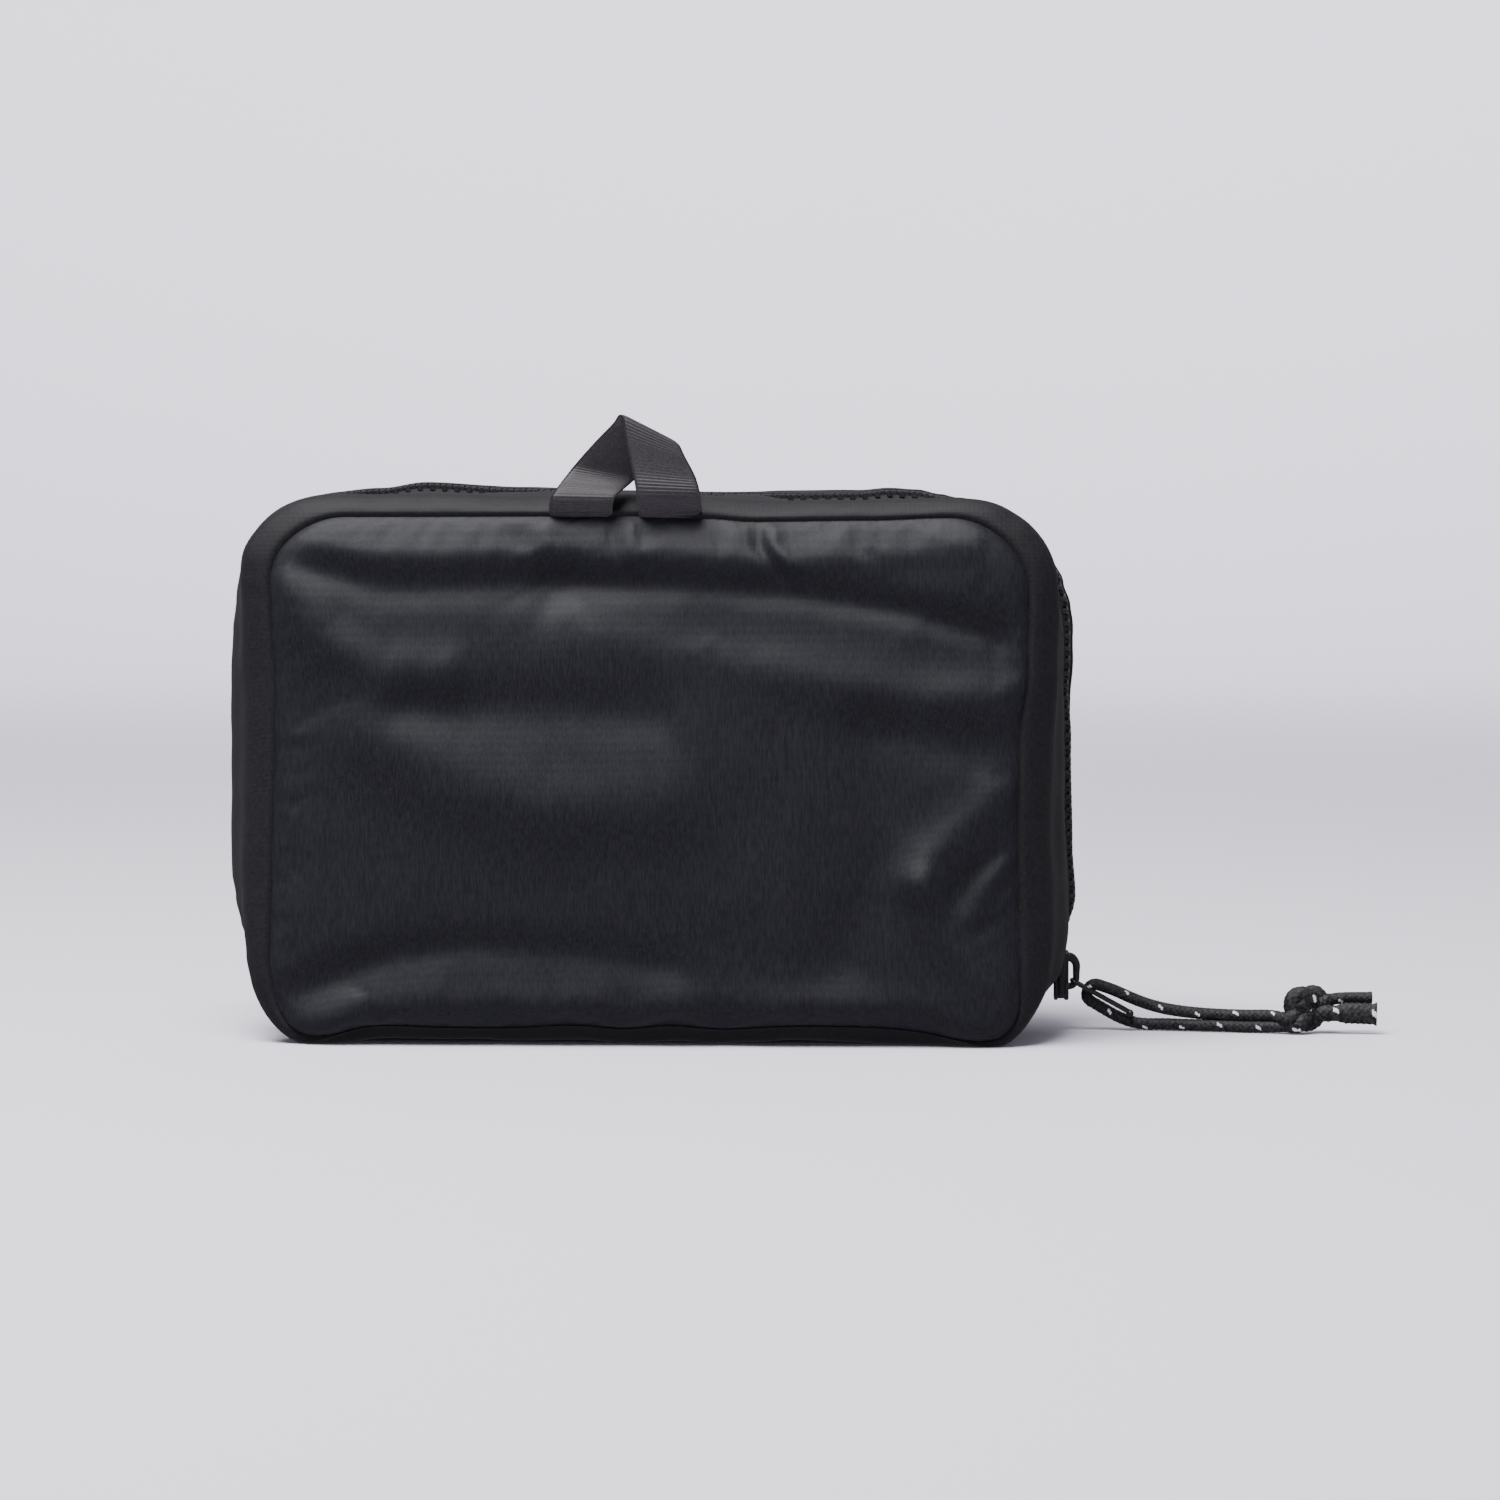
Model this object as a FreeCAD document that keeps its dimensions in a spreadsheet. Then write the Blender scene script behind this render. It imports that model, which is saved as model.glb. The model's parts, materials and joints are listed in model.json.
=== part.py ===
import FreeCAD
import Part
import math
import os

import Sketcher

# Hanging toiletry bag. +X is to the bag's right, +Y runs from the loop side to the lid side and +Z is up.
# The origin is the centre of the flat base. A deep front half carries the hanging loop, and a shallow lid
# closes it from behind. A zip runs round the right side, the top and the left side between the two.

DIMENSIONS = {
    # the six outlines that the walls are lofted through, from the front seam to the rear seam
    "seam_place": -38, "seam_width": 235, "seam_low": 5, "seam_high": 166, "seam_round": 24,
    "shoulder_place": -32, "shoulder_width": 250, "shoulder_low": -0.3, "shoulder_high": 171,
    "shoulder_round": 27,
    "mouth_place": 8, "mouth_width": 264, "mouth_low": -0.3, "mouth_high": 174, "mouth_round": 27,
    "lid_place": 20, "lid_width": 264, "lid_low": -0.3, "lid_high": 174, "lid_round": 27,
    "hip_place": 32, "hip_width": 254, "hip_low": -0.3, "hip_high": 171, "hip_round": 27,
    "rear_place": 38, "rear_width": 240, "rear_low": 5, "rear_high": 167, "rear_round": 24,
    # sheet thicknesses and the plies inside the walls
    "wall": 2.4, "ply_gap": 0.3, "lining": 0.6, "foam": 2.6, "foam_inset": 6,
    "panel_rise": 4, "panel_draw": 10, "rear_rise": 3, "rear_draw": 8,
    "binding_wide": 4, "binding_thick": 0.9, "front_taper": 1.0, "rear_taper": 2.1,
    # zip
    "zip_middle": 14, "tape_out": 0.9, "tape_thick": 0.8, "tape_wide": 3,
    "teeth_out": 0.2, "teeth_thick": 2.2, "teeth_wide": 2.2, "teeth_start": 3,
    "zip_foot": 27, "tail_top": 8, "fold_height": 30, "fold_gap": 0.3,
    "stop_inset": 12.4, "stop_half_wide": 2, "stop_half_deep": 3, "stop_gap": 0.2, "stop_high": 1.6,
    # slider, pull and hanging loop
    "slider_foot": 10, "slider_long": 16, "slider_wide": 10, "slider_plate": 1,
    "slider_gap": 0.3, "flange_wide": 1, "flange_gap": 0.35, "post_wide": 0.8, "post_long": 4,
    "bridge_foot": 13.6, "bridge_long": 10.8, "bridge_wide": 2.8, "bridge_deep": 3.3, "bridge_wall": 1.1,
    "pull_height": 16.2, "pull_end_height": 4.6, "pull_long": 24, "pull_half": 2.6, "pull_wire": 1.3,
    "nub_radius": 1.2, "webbing_wide": 20, "webbing_thick": 1.2,
    # inside pockets
    "slip_half": 100, "slip_deep": 7, "slip_foot": 8.9, "slip_top": 95,
    "mesh_half": 112, "mesh_deep": 11, "mesh_foot": 36, "mesh_top": 120, "pocket_wall": 0.8,
    "elastic_high": 8, "elastic_thick": 1.4, "elastic_inset": 2,
    # cord of the zip pull
    "cord": 3.7, "cord_bight": 3, "bight_along": 9.2, "bight_lean": 20, "knot_radius": 8,
    "tail_cord": 4.2,
}

os.makedirs("parts", exist_ok=True)
doc = FreeCAD.newDocument("toiletry_bag")
sheet = doc.addObject("Spreadsheet::Sheet", "dims")
for row, (alias, value) in enumerate(DIMENSIONS.items(), start=1):
    sheet.set(f"A{row}", alias)
    sheet.set(f"B{row}", str(value))
    sheet.setAlias(f"B{row}", alias)
doc.recompute()

nodes = {}
V = FreeCAD.Vector


def size(alias):
    """The value of a driving dimension."""
    return float(sheet.get(alias))


def keep(label, item):
    """Names a document object as one sub-part of the bag."""
    item.Label = label
    nodes[label] = item
    return item


# ---------------------------------------------------------------- outlines and lofted walls

def outline(body, name, station, inset="0", place=None):
    """A rounded rectangle across the bag at one station, drawn in by an inset on every side."""
    plane = next(f for f in body.Origin.OriginFeatures if f.Role == "XZ_Plane")
    sketch = body.newObject("Sketcher::SketchObject", name)
    sketch.AttachmentSupport = [(plane, "")]
    sketch.MapMode = "FlatFace"
    sketch.setExpression("AttachmentOffset.Base.z", f"-({place or f'dims.{station}_place'})")
    half, low, high, round_ = 100.0, 10.0, 150.0, 20.0
    left, right = -half, half
    lines = [
        (V(left + round_, low, 0), V(right - round_, low, 0)),
        (V(right, low + round_, 0), V(right, high - round_, 0)),
        (V(right - round_, high, 0), V(left + round_, high, 0)),
        (V(left, high - round_, 0), V(left, low + round_, 0)),
    ]
    centres = [
        (V(right - round_, low + round_, 0), 270),
        (V(right - round_, high - round_, 0), 0),
        (V(left + round_, high - round_, 0), 90),
        (V(left + round_, low + round_, 0), 180),
    ]
    for start, end in lines:
        sketch.addGeometry(Part.LineSegment(start, end), False)
    for centre, turn in centres:
        circle = Part.Circle(centre, V(0, 0, 1), round_)
        arc = Part.ArcOfCircle(circle, math.radians(turn), math.radians(turn + 90))
        sketch.addGeometry(arc, False)
    for side in range(4):
        corner = 4 + side
        following = (side + 1) % 4
        sketch.addConstraint(Sketcher.Constraint("Tangent", side, 2, corner, 1))
        sketch.addConstraint(Sketcher.Constraint("Tangent", corner, 2, following, 1))
        if side:
            sketch.addConstraint(Sketcher.Constraint("Equal", 4, corner))
    for side, way in enumerate(("Vertical", "Horizontal", "Vertical"), start=1):
        sketch.addConstraint(Sketcher.Constraint(way, side))
    sketch.addConstraint(Sketcher.Constraint("Symmetric", 0, 1, 0, 2, -2))
    across = Sketcher.Constraint("DistanceX", 3, 1, 1, 2, 2 * half)
    driven = [
        ("width", across, f"dims.{station}_width - 2 * ({inset})"),
        ("low", Sketcher.Constraint("DistanceY", -1, 1, 0, 1, low), f"dims.{station}_low + ({inset})"),
        ("high", Sketcher.Constraint("DistanceY", -1, 1, 2, 1, high), f"dims.{station}_high - ({inset})"),
        ("round", Sketcher.Constraint("Radius", 4, round_), f"dims.{station}_round - ({inset})"),
    ]
    for label, constraint, expression in driven:
        index = sketch.addConstraint(constraint)
        sketch.renameConstraint(index, label)
        sketch.setExpression(f"Constraints.{label}", expression)
    return sketch


def loft(body, kind, name, stations):
    """Adds or removes a ruled loft. Each station is (outline name, inset, place or None)."""
    sketches = [
        outline(body, f"{name}_{index}", station, inset, place)
        for index, (station, inset, place) in enumerate(stations)
    ]
    feature = body.newObject(kind, name)
    feature.Profile = sketches[0]
    feature.Sections = sketches[1:]
    feature.Ruled = True
    return feature


def lofted_solid(name, stations):
    """A closed solid through the stations."""
    body = doc.addObject("PartDesign::Body", name)
    loft(body, "PartDesign::AdditiveLoft", f"{name}_outer", stations)
    return body


HOLLOW_SHARE = 0.9


def lofted_wall(name, outer, inner):
    """A solid through the outer stations, hollowed through the inner ones."""
    body = doc.addObject("PartDesign::Body", name)
    loft(body, "PartDesign::AdditiveLoft", f"{name}_outer", outer)
    doc.recompute()
    full = body.Shape.Volume
    loft(body, "PartDesign::SubtractiveLoft", f"{name}_inner", inner)
    doc.recompute()
    assert body.Shape.Volume < HOLLOW_SHARE * full, f"{name} isn't hollow"
    return body


def box(name, low, high):
    """A Part box whose corners are expressions, one per axis."""
    item = doc.addObject("Part::Box", name)
    for axis, side, start, end in zip("xyz", ("Length", "Width", "Height"), low, high):
        item.setExpression(f"Placement.Base.{axis}", f"1mm * ({start})")
        item.setExpression(side, f"1mm * (({end}) - ({start}))")
    return item


def joined(kind, name, base, tool):
    """A Part cut or common of two objects."""
    item = doc.addObject(kind, name)
    item.Base = base
    item.Tool = tool
    return item


def fused(name, shapes):
    """A Part fuse of several objects."""
    item = doc.addObject("Part::MultiFuse", name)
    item.Shapes = shapes
    return item


# A room that takes in the whole bag, for cutting it at a height
WIDE = "dims.mouth_width"
DEEP = "60"
TALL = "300"


def upper_part(name, base, floor="dims.fold_height + dims.fold_gap"):
    """What lies above a height."""
    room = box(f"{name}_room", ("-" + WIDE, "-" + DEEP, floor), (WIDE, DEEP, TALL))
    return joined("Part::Common", f"{name}_upper", base, room)


def lower_part(name, base, ceiling="dims.fold_height"):
    """What lies between the flat sole and a height."""
    room = box(f"{name}_room", ("-" + WIDE, "-" + DEEP, "0"), (WIDE, DEEP, ceiling))
    return joined("Part::Common", f"{name}_lower", base, room)


# ---------------------------------------------------------------- shell of the front half

WALL = "dims.wall"
front = [("seam", "0", None), ("shoulder", "0", None), ("mouth", "0", None)]
front_inner = [(station, WALL, None) for station, _, _ in front]
keep("main_gusset", upper_part("front_wall_sole", lofted_wall("front_wall", front, front_inner), "0"))

panel = [("seam", "0", None), ("seam", "dims.panel_draw", "dims.seam_place - dims.panel_rise")]
keep("main_panel", lofted_solid("front_panel", panel))

rear = [("lid", "0", None), ("hip", "0", None), ("rear", "0", None)]
rear_inner = [(station, WALL, None) for station, _, _ in rear]
neck = [("mouth", "0", None), ("lid", "0", None)]
neck_inner = [(station, WALL, None) for station, _, _ in neck]

neck_wall = lofted_wall("neck_wall", neck, neck_inner)
neck_low = lower_part("neck", neck_wall, "dims.tail_top")
tail_wall = lofted_wall("tail_wall", rear, rear_inner)
tail_low = lower_part("tail", tail_wall)
keep("tail_gusset", fused("tail_gusset_whole", [neck_low, tail_low]))

plate = [("rear", "0", None), ("rear", "dims.rear_draw", "dims.rear_place + dims.rear_rise")]
keep("tail_panel", lower_part("tail_plate", lofted_solid("rear_plate_low", plate)))

# ---------------------------------------------------------------- shell of the lid

keep("lid_gusset", upper_part("lid_wall", lofted_wall("lid_wall_whole", rear, rear_inner)))
keep("lid_panel", upper_part("lid_plate", lofted_solid("rear_plate_high", plate)))

# ---------------------------------------------------------------- foam, lining and seam bindings

FRONT_FOAM = "dims.seam_place + dims.foam"
REAR_FOAM = "dims.rear_place - dims.foam"
foam = [("seam", "dims.foam_inset", None), ("seam", "dims.foam_inset", FRONT_FOAM)]
keep("main_foam", lofted_solid("front_foam", foam))
foam_rear = [("rear", "dims.foam_inset", None), ("rear", "dims.foam_inset", REAR_FOAM)]
keep("lid_foam", upper_part("rear_foam", lofted_solid("rear_foam_whole", foam_rear)))

OUT = "dims.wall + dims.ply_gap"
IN = "dims.wall + dims.ply_gap + dims.lining"
FRONT_PLY = f"{FRONT_FOAM} + dims.ply_gap"
REAR_PLY = f"{REAR_FOAM} - dims.ply_gap"
tray = [
    ("seam", OUT, FRONT_PLY),
    ("shoulder", OUT, "dims.shoulder_place + dims.ply_gap"),
    ("mouth", OUT, None),
]
tray_inner = [
    ("seam", IN, f"{FRONT_PLY} + dims.lining"),
    ("shoulder", IN, "dims.shoulder_place + dims.ply_gap + dims.lining"),
    ("mouth", IN, "dims.mouth_place + dims.lining"),
]
keep("main_lining", lofted_wall("front_lining", tray, tray_inner))
lid_tray = [("lid", OUT, None), ("hip", OUT, "dims.hip_place - dims.ply_gap"), ("rear", OUT, REAR_PLY)]
lid_tray_inner = [
    ("lid", IN, "dims.lid_place - dims.lining"),
    ("hip", IN, "dims.hip_place - dims.ply_gap - dims.lining"),
    ("rear", IN, f"{REAR_PLY} - dims.lining"),
]
lid_lining = lofted_wall("rear_lining", lid_tray, lid_tray_inner)
keep("lid_lining", upper_part("rear_lining_cut", lid_lining))


def binding(name, station, far, taper):
    """A band of tape over the raw edge inside a mouth, clear of the lining that tapers away behind it."""
    outside = f"dims.wall + dims.ply_gap * 2 + dims.lining + {taper}"
    inside = f"{outside} + dims.binding_thick"
    outer = [(station, outside, None), (station, outside, far)]
    inner = [(station, inside, None), (station, inside, far)]
    return lofted_wall(name, outer, inner)


FRONT_BAND = "dims.mouth_place - dims.binding_wide"
REAR_BAND = "dims.lid_place + dims.binding_wide"
keep("main_binding", binding("front_binding", "mouth", FRONT_BAND, "dims.front_taper"))
lid_binding = binding("rear_binding", "lid", REAR_BAND, "dims.rear_taper")
keep("lid_binding", upper_part("rear_binding_cut", lid_binding))

# ---------------------------------------------------------------- zip tapes, teeth and stops


def zip_band(name, station, start, end, out, thick):
    """One strip that follows the bag's edge over the top, from the foot of the zip on each side."""
    deeper = f"{out} + {thick}"
    outer = [(station, out, start), (station, out, end)]
    inner = [(station, deeper, start), (station, deeper, end)]
    whole = lofted_wall(f"{name}_whole", outer, inner)
    foot = "dims.zip_foot" if station == "mouth" else "dims.fold_height + dims.fold_gap"
    return upper_part(name, whole, foot)


TAPE = ("dims.tape_out", "dims.tape_thick")
TEETH = ("dims.teeth_out", "dims.teeth_thick")
TOOTH_A = "dims.mouth_place + dims.teeth_start"
TOOTH_B = "dims.lid_place - dims.teeth_start"
keep("zip_tape_main", zip_band("tape_main", "mouth", "dims.mouth_place", TOOTH_A, *TAPE))
keep("zip_teeth_main", zip_band("teeth_main", "mouth", TOOTH_A, f"{TOOTH_A} + dims.teeth_wide", *TEETH))
keep("zip_tape_lid", zip_band("tape_lid", "lid", TOOTH_B, "dims.lid_place", *TAPE))
keep("zip_teeth_lid", zip_band("teeth_lid", "lid", f"{TOOTH_B} - dims.teeth_wide", TOOTH_B, *TEETH))

for side, sign in (("left", -1), ("right", 1)):
    middle = f"{sign} * (dims.mouth_width / 2 - dims.stop_inset)"
    foot = "dims.tail_top + dims.stop_gap"
    low = (f"{middle} - dims.stop_half_wide", "dims.zip_middle - dims.stop_half_deep", foot)
    high = (
        f"{middle} + dims.stop_half_wide",
        "dims.zip_middle + dims.stop_half_deep",
        f"{foot} + dims.stop_high",
    )
    keep(f"zip_stop_{side}", box(f"stop_{side}", low, high))

# ---------------------------------------------------------------- inside pockets


def pocket(name, deep_low, deep_high, open_side, half, foot, top):
    """A flat pocket of thin cloth sewn to the lining on three sides and open at the top."""
    thick = "dims.pocket_wall"
    whole = box(f"{name}_whole", (f"-{half}", deep_low, foot), (half, deep_high, top))
    reach = {
        "front": (f"{deep_low} - 1", f"{deep_high} - {thick}"),
        "rear": (f"{deep_low} + {thick}", f"{deep_high} + 1"),
    }
    near, far = reach[open_side]
    low = (f"-{half} + {thick}", near, f"{foot} + {thick}")
    room = box(f"{name}_room", low, (f"{half} - {thick}", far, f"{top} + 1"))
    return joined("Part::Cut", name, whole, room)


SLIP_BACK = f"{FRONT_PLY} + dims.lining + dims.ply_gap"
SLIP_FACE = f"{SLIP_BACK} + dims.slip_deep"
SLIP = ("dims.slip_half", "dims.slip_foot", "dims.slip_top")
keep("slip_pocket", pocket("slip_cloth", SLIP_BACK, SLIP_FACE, "front", *SLIP))
low = ("-dims.slip_half + dims.elastic_inset", SLIP_FACE, "dims.slip_top - dims.elastic_high")
high = ("dims.slip_half - dims.elastic_inset", f"{SLIP_FACE} + dims.elastic_thick", "dims.slip_top")
keep("slip_elastic", box("slip_band", low, high))

MESH_BACK = f"{REAR_PLY} - dims.lining - dims.ply_gap"
MESH_FACE = f"{MESH_BACK} - dims.mesh_deep"
NET = ("dims.mesh_half", "dims.mesh_foot", "dims.mesh_top")
keep("mesh_pocket", pocket("mesh_cloth", MESH_FACE, MESH_BACK, "rear", *NET))
low = (
    "-dims.mesh_half + dims.elastic_inset",
    f"{MESH_FACE} - dims.elastic_thick",
    "dims.mesh_top - dims.elastic_high",
)
high = ("dims.mesh_half - dims.elastic_inset", MESH_FACE, "dims.mesh_top")
keep("mesh_elastic", box("mesh_band", low, high))

# ---------------------------------------------------------------- slider and its bridge

CHAIN = "(dims.mouth_width / 2 - dims.teeth_out - dims.teeth_thick / 2)"
OUTER = f"({CHAIN} + dims.teeth_thick / 2 + dims.slider_gap)"
INNER = f"({CHAIN} - dims.teeth_thick / 2 - dims.slider_gap)"
TAPE_OUTER = "(dims.mouth_width / 2 - dims.tape_out + dims.flange_gap)"
TAPE_INNER = "(dims.mouth_width / 2 - dims.tape_out - dims.tape_thick - dims.flange_gap)"
NEAR = "(dims.zip_middle - dims.slider_wide / 2)"
FAR = "(dims.zip_middle + dims.slider_wide / 2)"
FOOT = "dims.slider_foot"
HEAD = "dims.slider_foot + dims.slider_long"

slider = [
    box("slider_outer", (OUTER, NEAR, FOOT), (f"{OUTER} + dims.slider_plate", FAR, HEAD)),
    box("slider_inner", (f"{INNER} - dims.slider_plate", NEAR, FOOT), (INNER, FAR, HEAD)),
    box(
        "slider_post",
        (INNER, "dims.zip_middle - dims.post_wide / 2", FOOT),
        (OUTER, "dims.zip_middle + dims.post_wide / 2", f"{FOOT} + dims.post_long"),
    ),
]
FLANGES = (("near", NEAR, f"{NEAR} + dims.flange_wide"), ("far", f"{FAR} - dims.flange_wide", FAR))
for word, start, end in FLANGES:
    slider.append(box(f"flange_outer_{word}", (TAPE_OUTER, start, FOOT), (OUTER, end, HEAD)))
    slider.append(box(f"flange_inner_{word}", (INNER, start, FOOT), (TAPE_INNER, end, HEAD)))
keep("slider_body", fused("slider_whole", slider))

FACE = f"({OUTER} + dims.slider_plate)"
half_bridge = "dims.bridge_wide / 2"
bridge_top = "dims.bridge_foot + dims.bridge_long"
arch = box(
    "bridge_block",
    (FACE, f"dims.zip_middle - {half_bridge}", "dims.bridge_foot"),
    (f"{FACE} + dims.bridge_deep", f"dims.zip_middle + {half_bridge}", bridge_top),
)
arch_hole = box(
    "bridge_hole",
    (f"{FACE} - 1", f"dims.zip_middle - {half_bridge} - 1", "dims.bridge_foot + dims.bridge_wall"),
    (
        f"{FACE} + dims.bridge_deep - dims.bridge_wall",
        f"dims.zip_middle + {half_bridge} + 1",
        f"{bridge_top} - dims.bridge_wall",
    ),
)
keep("slider_bridge", joined("Part::Cut", "bridge_arch", arch, arch_hole))

# ---------------------------------------------------------------- swept wires and cords


def rounded_path(points, share=0.45):
    """Straight runs joined by tangent arcs. Returns the wire and the arcs' radii."""
    edges, radii = [], []
    start = points[0]
    for before, corner, after in zip(points, points[1:], points[2:]):
        way_in = (corner - before).normalize()
        way_out = (after - corner).normalize()
        turn = way_in.getAngle(way_out)
        shorter = min((corner - before).Length, (after - corner).Length)
        cut = share * shorter
        first = corner - way_in * cut
        last = corner + way_out * cut
        radius = cut / math.tan(turn / 2)
        inward = (way_out - way_in).normalize()
        middle = corner + inward * (radius / math.cos(turn / 2) - radius)
        edges.append(Part.LineSegment(start, first).toShape())
        edges.append(Part.Arc(first, middle, last).toShape())
        radii.append(radius)
        start = last
    edges.append(Part.LineSegment(start, points[-1]).toShape())
    return Part.Wire(edges), radii


def tube(points, radius):
    """A round solid along a rounded path. Returns the solid, its path and the arcs' radii."""
    path, radii = rounded_path(points)
    circle = Part.makeCircle(radius, points[0], points[1] - points[0])
    solid = path.makePipeShell([Part.Wire(circle)], True, False)
    return solid, path, radii


def feature(label, shape):
    """A sub-part whose shape is worked out here."""
    item = doc.addObject("Part::Feature", label)
    item.Shape = shape
    item.Placement = FreeCAD.Placement()
    return keep(label, item)


# ---------------------------------------------------------------- wire pull

chain = size("mouth_width") / 2 - size("teeth_out") - size("teeth_thick") / 2
face = chain + size("teeth_thick") / 2 + size("slider_gap") + size("slider_plate")
pull_reach = face + (size("bridge_deep") - size("bridge_wall")) / 2
drop = size("pull_height") - size("pull_end_height")
level = math.sqrt(size("pull_long") ** 2 - drop ** 2)
pull_start = V(pull_reach, size("zip_middle"), size("pull_height"))
pull_way = V(level, 0, -drop).normalize()
half_gap = V(0, size("pull_half"), 0)
pull_end = pull_start + pull_way * size("pull_long")
wire_radius = size("pull_wire") / 2


NUB_OFFSET = V(0, -0.5, -0.3)


def pull_ring():
    """A narrow closed loop of wire through the bridge, with a small nub at its far end."""
    corners = [pull_start - half_gap, pull_end - half_gap, pull_end + half_gap, pull_start + half_gap]
    solid = Part.makeCylinder(wire_radius, half_gap.Length * 2, corners[0], V(0, 1, 0))
    for first, last in zip(corners[:3], corners[1:]):
        way = last - first
        solid = solid.fuse(Part.makeCylinder(wire_radius, way.Length, first, way))
    for corner in corners:
        solid = solid.fuse(Part.makeSphere(wire_radius, corner))
    nub = Part.makeSphere(size("nub_radius"), corners[1] + NUB_OFFSET)
    return solid.fuse(nub).removeSplitter()


feature("pull_ring", pull_ring())

# ---------------------------------------------------------------- the cord on the pull

cord_radius = size("cord") / 2
bight_centre = pull_start + pull_way * size("bight_along")
lean = math.radians(size("bight_lean"))
across = V(math.sin(lean), 0, math.cos(lean))
upper_start = bight_centre + across * size("cord_bight")
lower_start = bight_centre - across * size("cord_bight")

bight = doc.addObject("Part::Torus", "bight_bend")
bight.setExpression("Radius1", "1mm * dims.cord_bight")
bight.setExpression("Radius2", "1mm * dims.cord / 2")
bight.setExpression("Angle3", "180")
upright = FreeCAD.Rotation(V(1, 0, 0), 90)
quarter = FreeCAD.Rotation(V(0, 1, 0), -90 + size("bight_lean"))
bight.Placement = FreeCAD.Placement(bight_centre, quarter * upright)
keep("cord_bight", bight)

UPPER_ROUTE = [
    upper_start, V(148.2, 14.1, 12.7), V(154.4, 14.0, 9.9), V(162.0, 13.4, 7.6), V(170.5, 12.2, 6.7),
    V(180.5, 10.6, 6.1), V(191.0, 9.0, 5.9), V(203.0, 7.8, 7.0),
]
LOWER_ROUTE = [
    lower_start, V(145.4, 14.0, 6.4), V(150.4, 14.1, 3.7), V(156.4, 14.2, 1.95), V(163.5, 13.4, 2.2),
    V(172.0, 11.6, 1.95), V(181.5, 9.4, 2.15), V(192.0, 7.5, 1.95), V(204.2, 6.0, 3.1),
]
UPPER_TAIL = [V(215.0, 8.5, 10.9), V(222.6, 9.2, 11.2), V(230.4, 9.4, 10.6)]
LOWER_TAIL = [V(215.0, 5.8, 6.2), V(223.2, 5.5, 5.0), V(231.8, 4.4, 4.4)]
CORDS = {
    "cord_upper": (UPPER_ROUTE, cord_radius),
    "cord_lower": (LOWER_ROUTE, cord_radius),
    "cord_tail_upper": (UPPER_TAIL, cord_radius),
    "cord_tail_lower": (LOWER_TAIL, size("tail_cord") / 2),
}
for label, (route, radius) in CORDS.items():
    solid, path, radii = tube(route, radius)
    section = math.pi * radius ** 2
    print(label, "radii", [round(r, 1) for r in radii], "length", round(path.Length, 1))
    print(label, "volume over section times length", round(solid.Volume / (section * path.Length), 4))
    feature(label, solid)

KNOT_CENTRE = V(209.4, 7.0, size("knot_radius") + 0.05)
knot = doc.addObject("Part::Sphere", "knot_ball")
knot.setExpression("Radius", "1mm * dims.knot_radius")
knot.Placement = FreeCAD.Placement(KNOT_CENTRE, FreeCAD.Rotation(V(0, 1, 0), 90))
keep("cord_knot", knot)

# ---------------------------------------------------------------- hanging loop of webbing

# Places along the strap: its middle, and how far the strap's width direction leans down and back.
# The left leg rises behind, the strap turns over a slanted crest and comes down in front at the right.
STRAP = [
    (V(-21.0, -38.5, 166.7), 0, 0),
    (V(-19.6, -36.2, 172.0), 2, 0),
    (V(-14.6, -31.6, 179.0), 10, 2),
    (V(-7.2, -28.6, 186.2), 20, 3),
    (V(-1.0, -28.4, 191.4), 26, 2),
    (V(0.8, -31.0, 193.6), 27, 0),
    (V(1.6, -34.8, 192.4), 26, 0),
    (V(3.0, -37.0, 188.0), 20, 0),
    (V(5.6, -37.6, 180.0), 6, 0),
    (V(7.0, -38.4, 173.0), 1, 2),
    (V(7.2, -38.6, 166.7), 0, 3),
]


def strap_section(index):
    """The strap's rectangular section at one place, square to its route."""
    middle, down, back = STRAP[index]
    before = STRAP[max(index - 1, 0)][0]
    after = STRAP[min(index + 1, len(STRAP) - 1)][0]
    lean_down, turn_back = math.radians(down), math.radians(back)
    across_way = V(math.cos(lean_down), math.sin(turn_back), -math.sin(lean_down))
    across_way.normalize()
    thick_way = across_way.cross(after - before).normalize()
    half_wide = across_way * (size("webbing_wide") / 2)
    half_thick = thick_way * (size("webbing_thick") / 2)
    corners = [
        middle - half_wide - half_thick, middle + half_wide - half_thick,
        middle + half_wide + half_thick, middle - half_wide + half_thick,
    ]
    return Part.makePolygon(corners + corners[:1])


feature("hanging_loop", Part.makeLoft([strap_section(i) for i in range(len(STRAP))], True, True))

# the ends of the webbing, sewn down inside the bag behind the seam
for side, station in (("left", STRAP[0][0].x), ("right", STRAP[-1][0].x)):
    half_wide = size("webbing_wide") / 2 - 1
    low = (f"{station} - {half_wide}", f"{FRONT_PLY} + dims.lining + dims.ply_gap", "dims.seam_high - 16")
    high = (f"{station} + {half_wide}", f"{FRONT_PLY} + dims.lining + 1.5", "dims.seam_high - 6")
    keep(f"loop_end_{side}", box(f"webbing_end_{side}", low, high))

# ---------------------------------------------------------------- checks and export

doc.recompute()
for item in doc.Objects:
    assert not {"Invalid", "Error"} & set(item.State), f"{item.Label} failed: {item.State}"
for label, item in nodes.items():
    shape = item.Shape
    assert not shape.isNull() and shape.isValid() and shape.Volume > 0, f"{label} has no valid shape"
for label, item in nodes.items():
    item.Shape.exportStep(f"parts/{label}.step")
    bounds = item.Shape.BoundBox
    print(f"{label}: {len(item.Shape.Solids)} solid, x {bounds.XMin:.1f} {bounds.XMax:.1f},"
          f" y {bounds.YMin:.1f} {bounds.YMax:.1f}, z {bounds.ZMin:.1f} {bounds.ZMax:.1f}")
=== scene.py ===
import json
import math

import bmesh
import bpy
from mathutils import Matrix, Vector, noise


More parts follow.
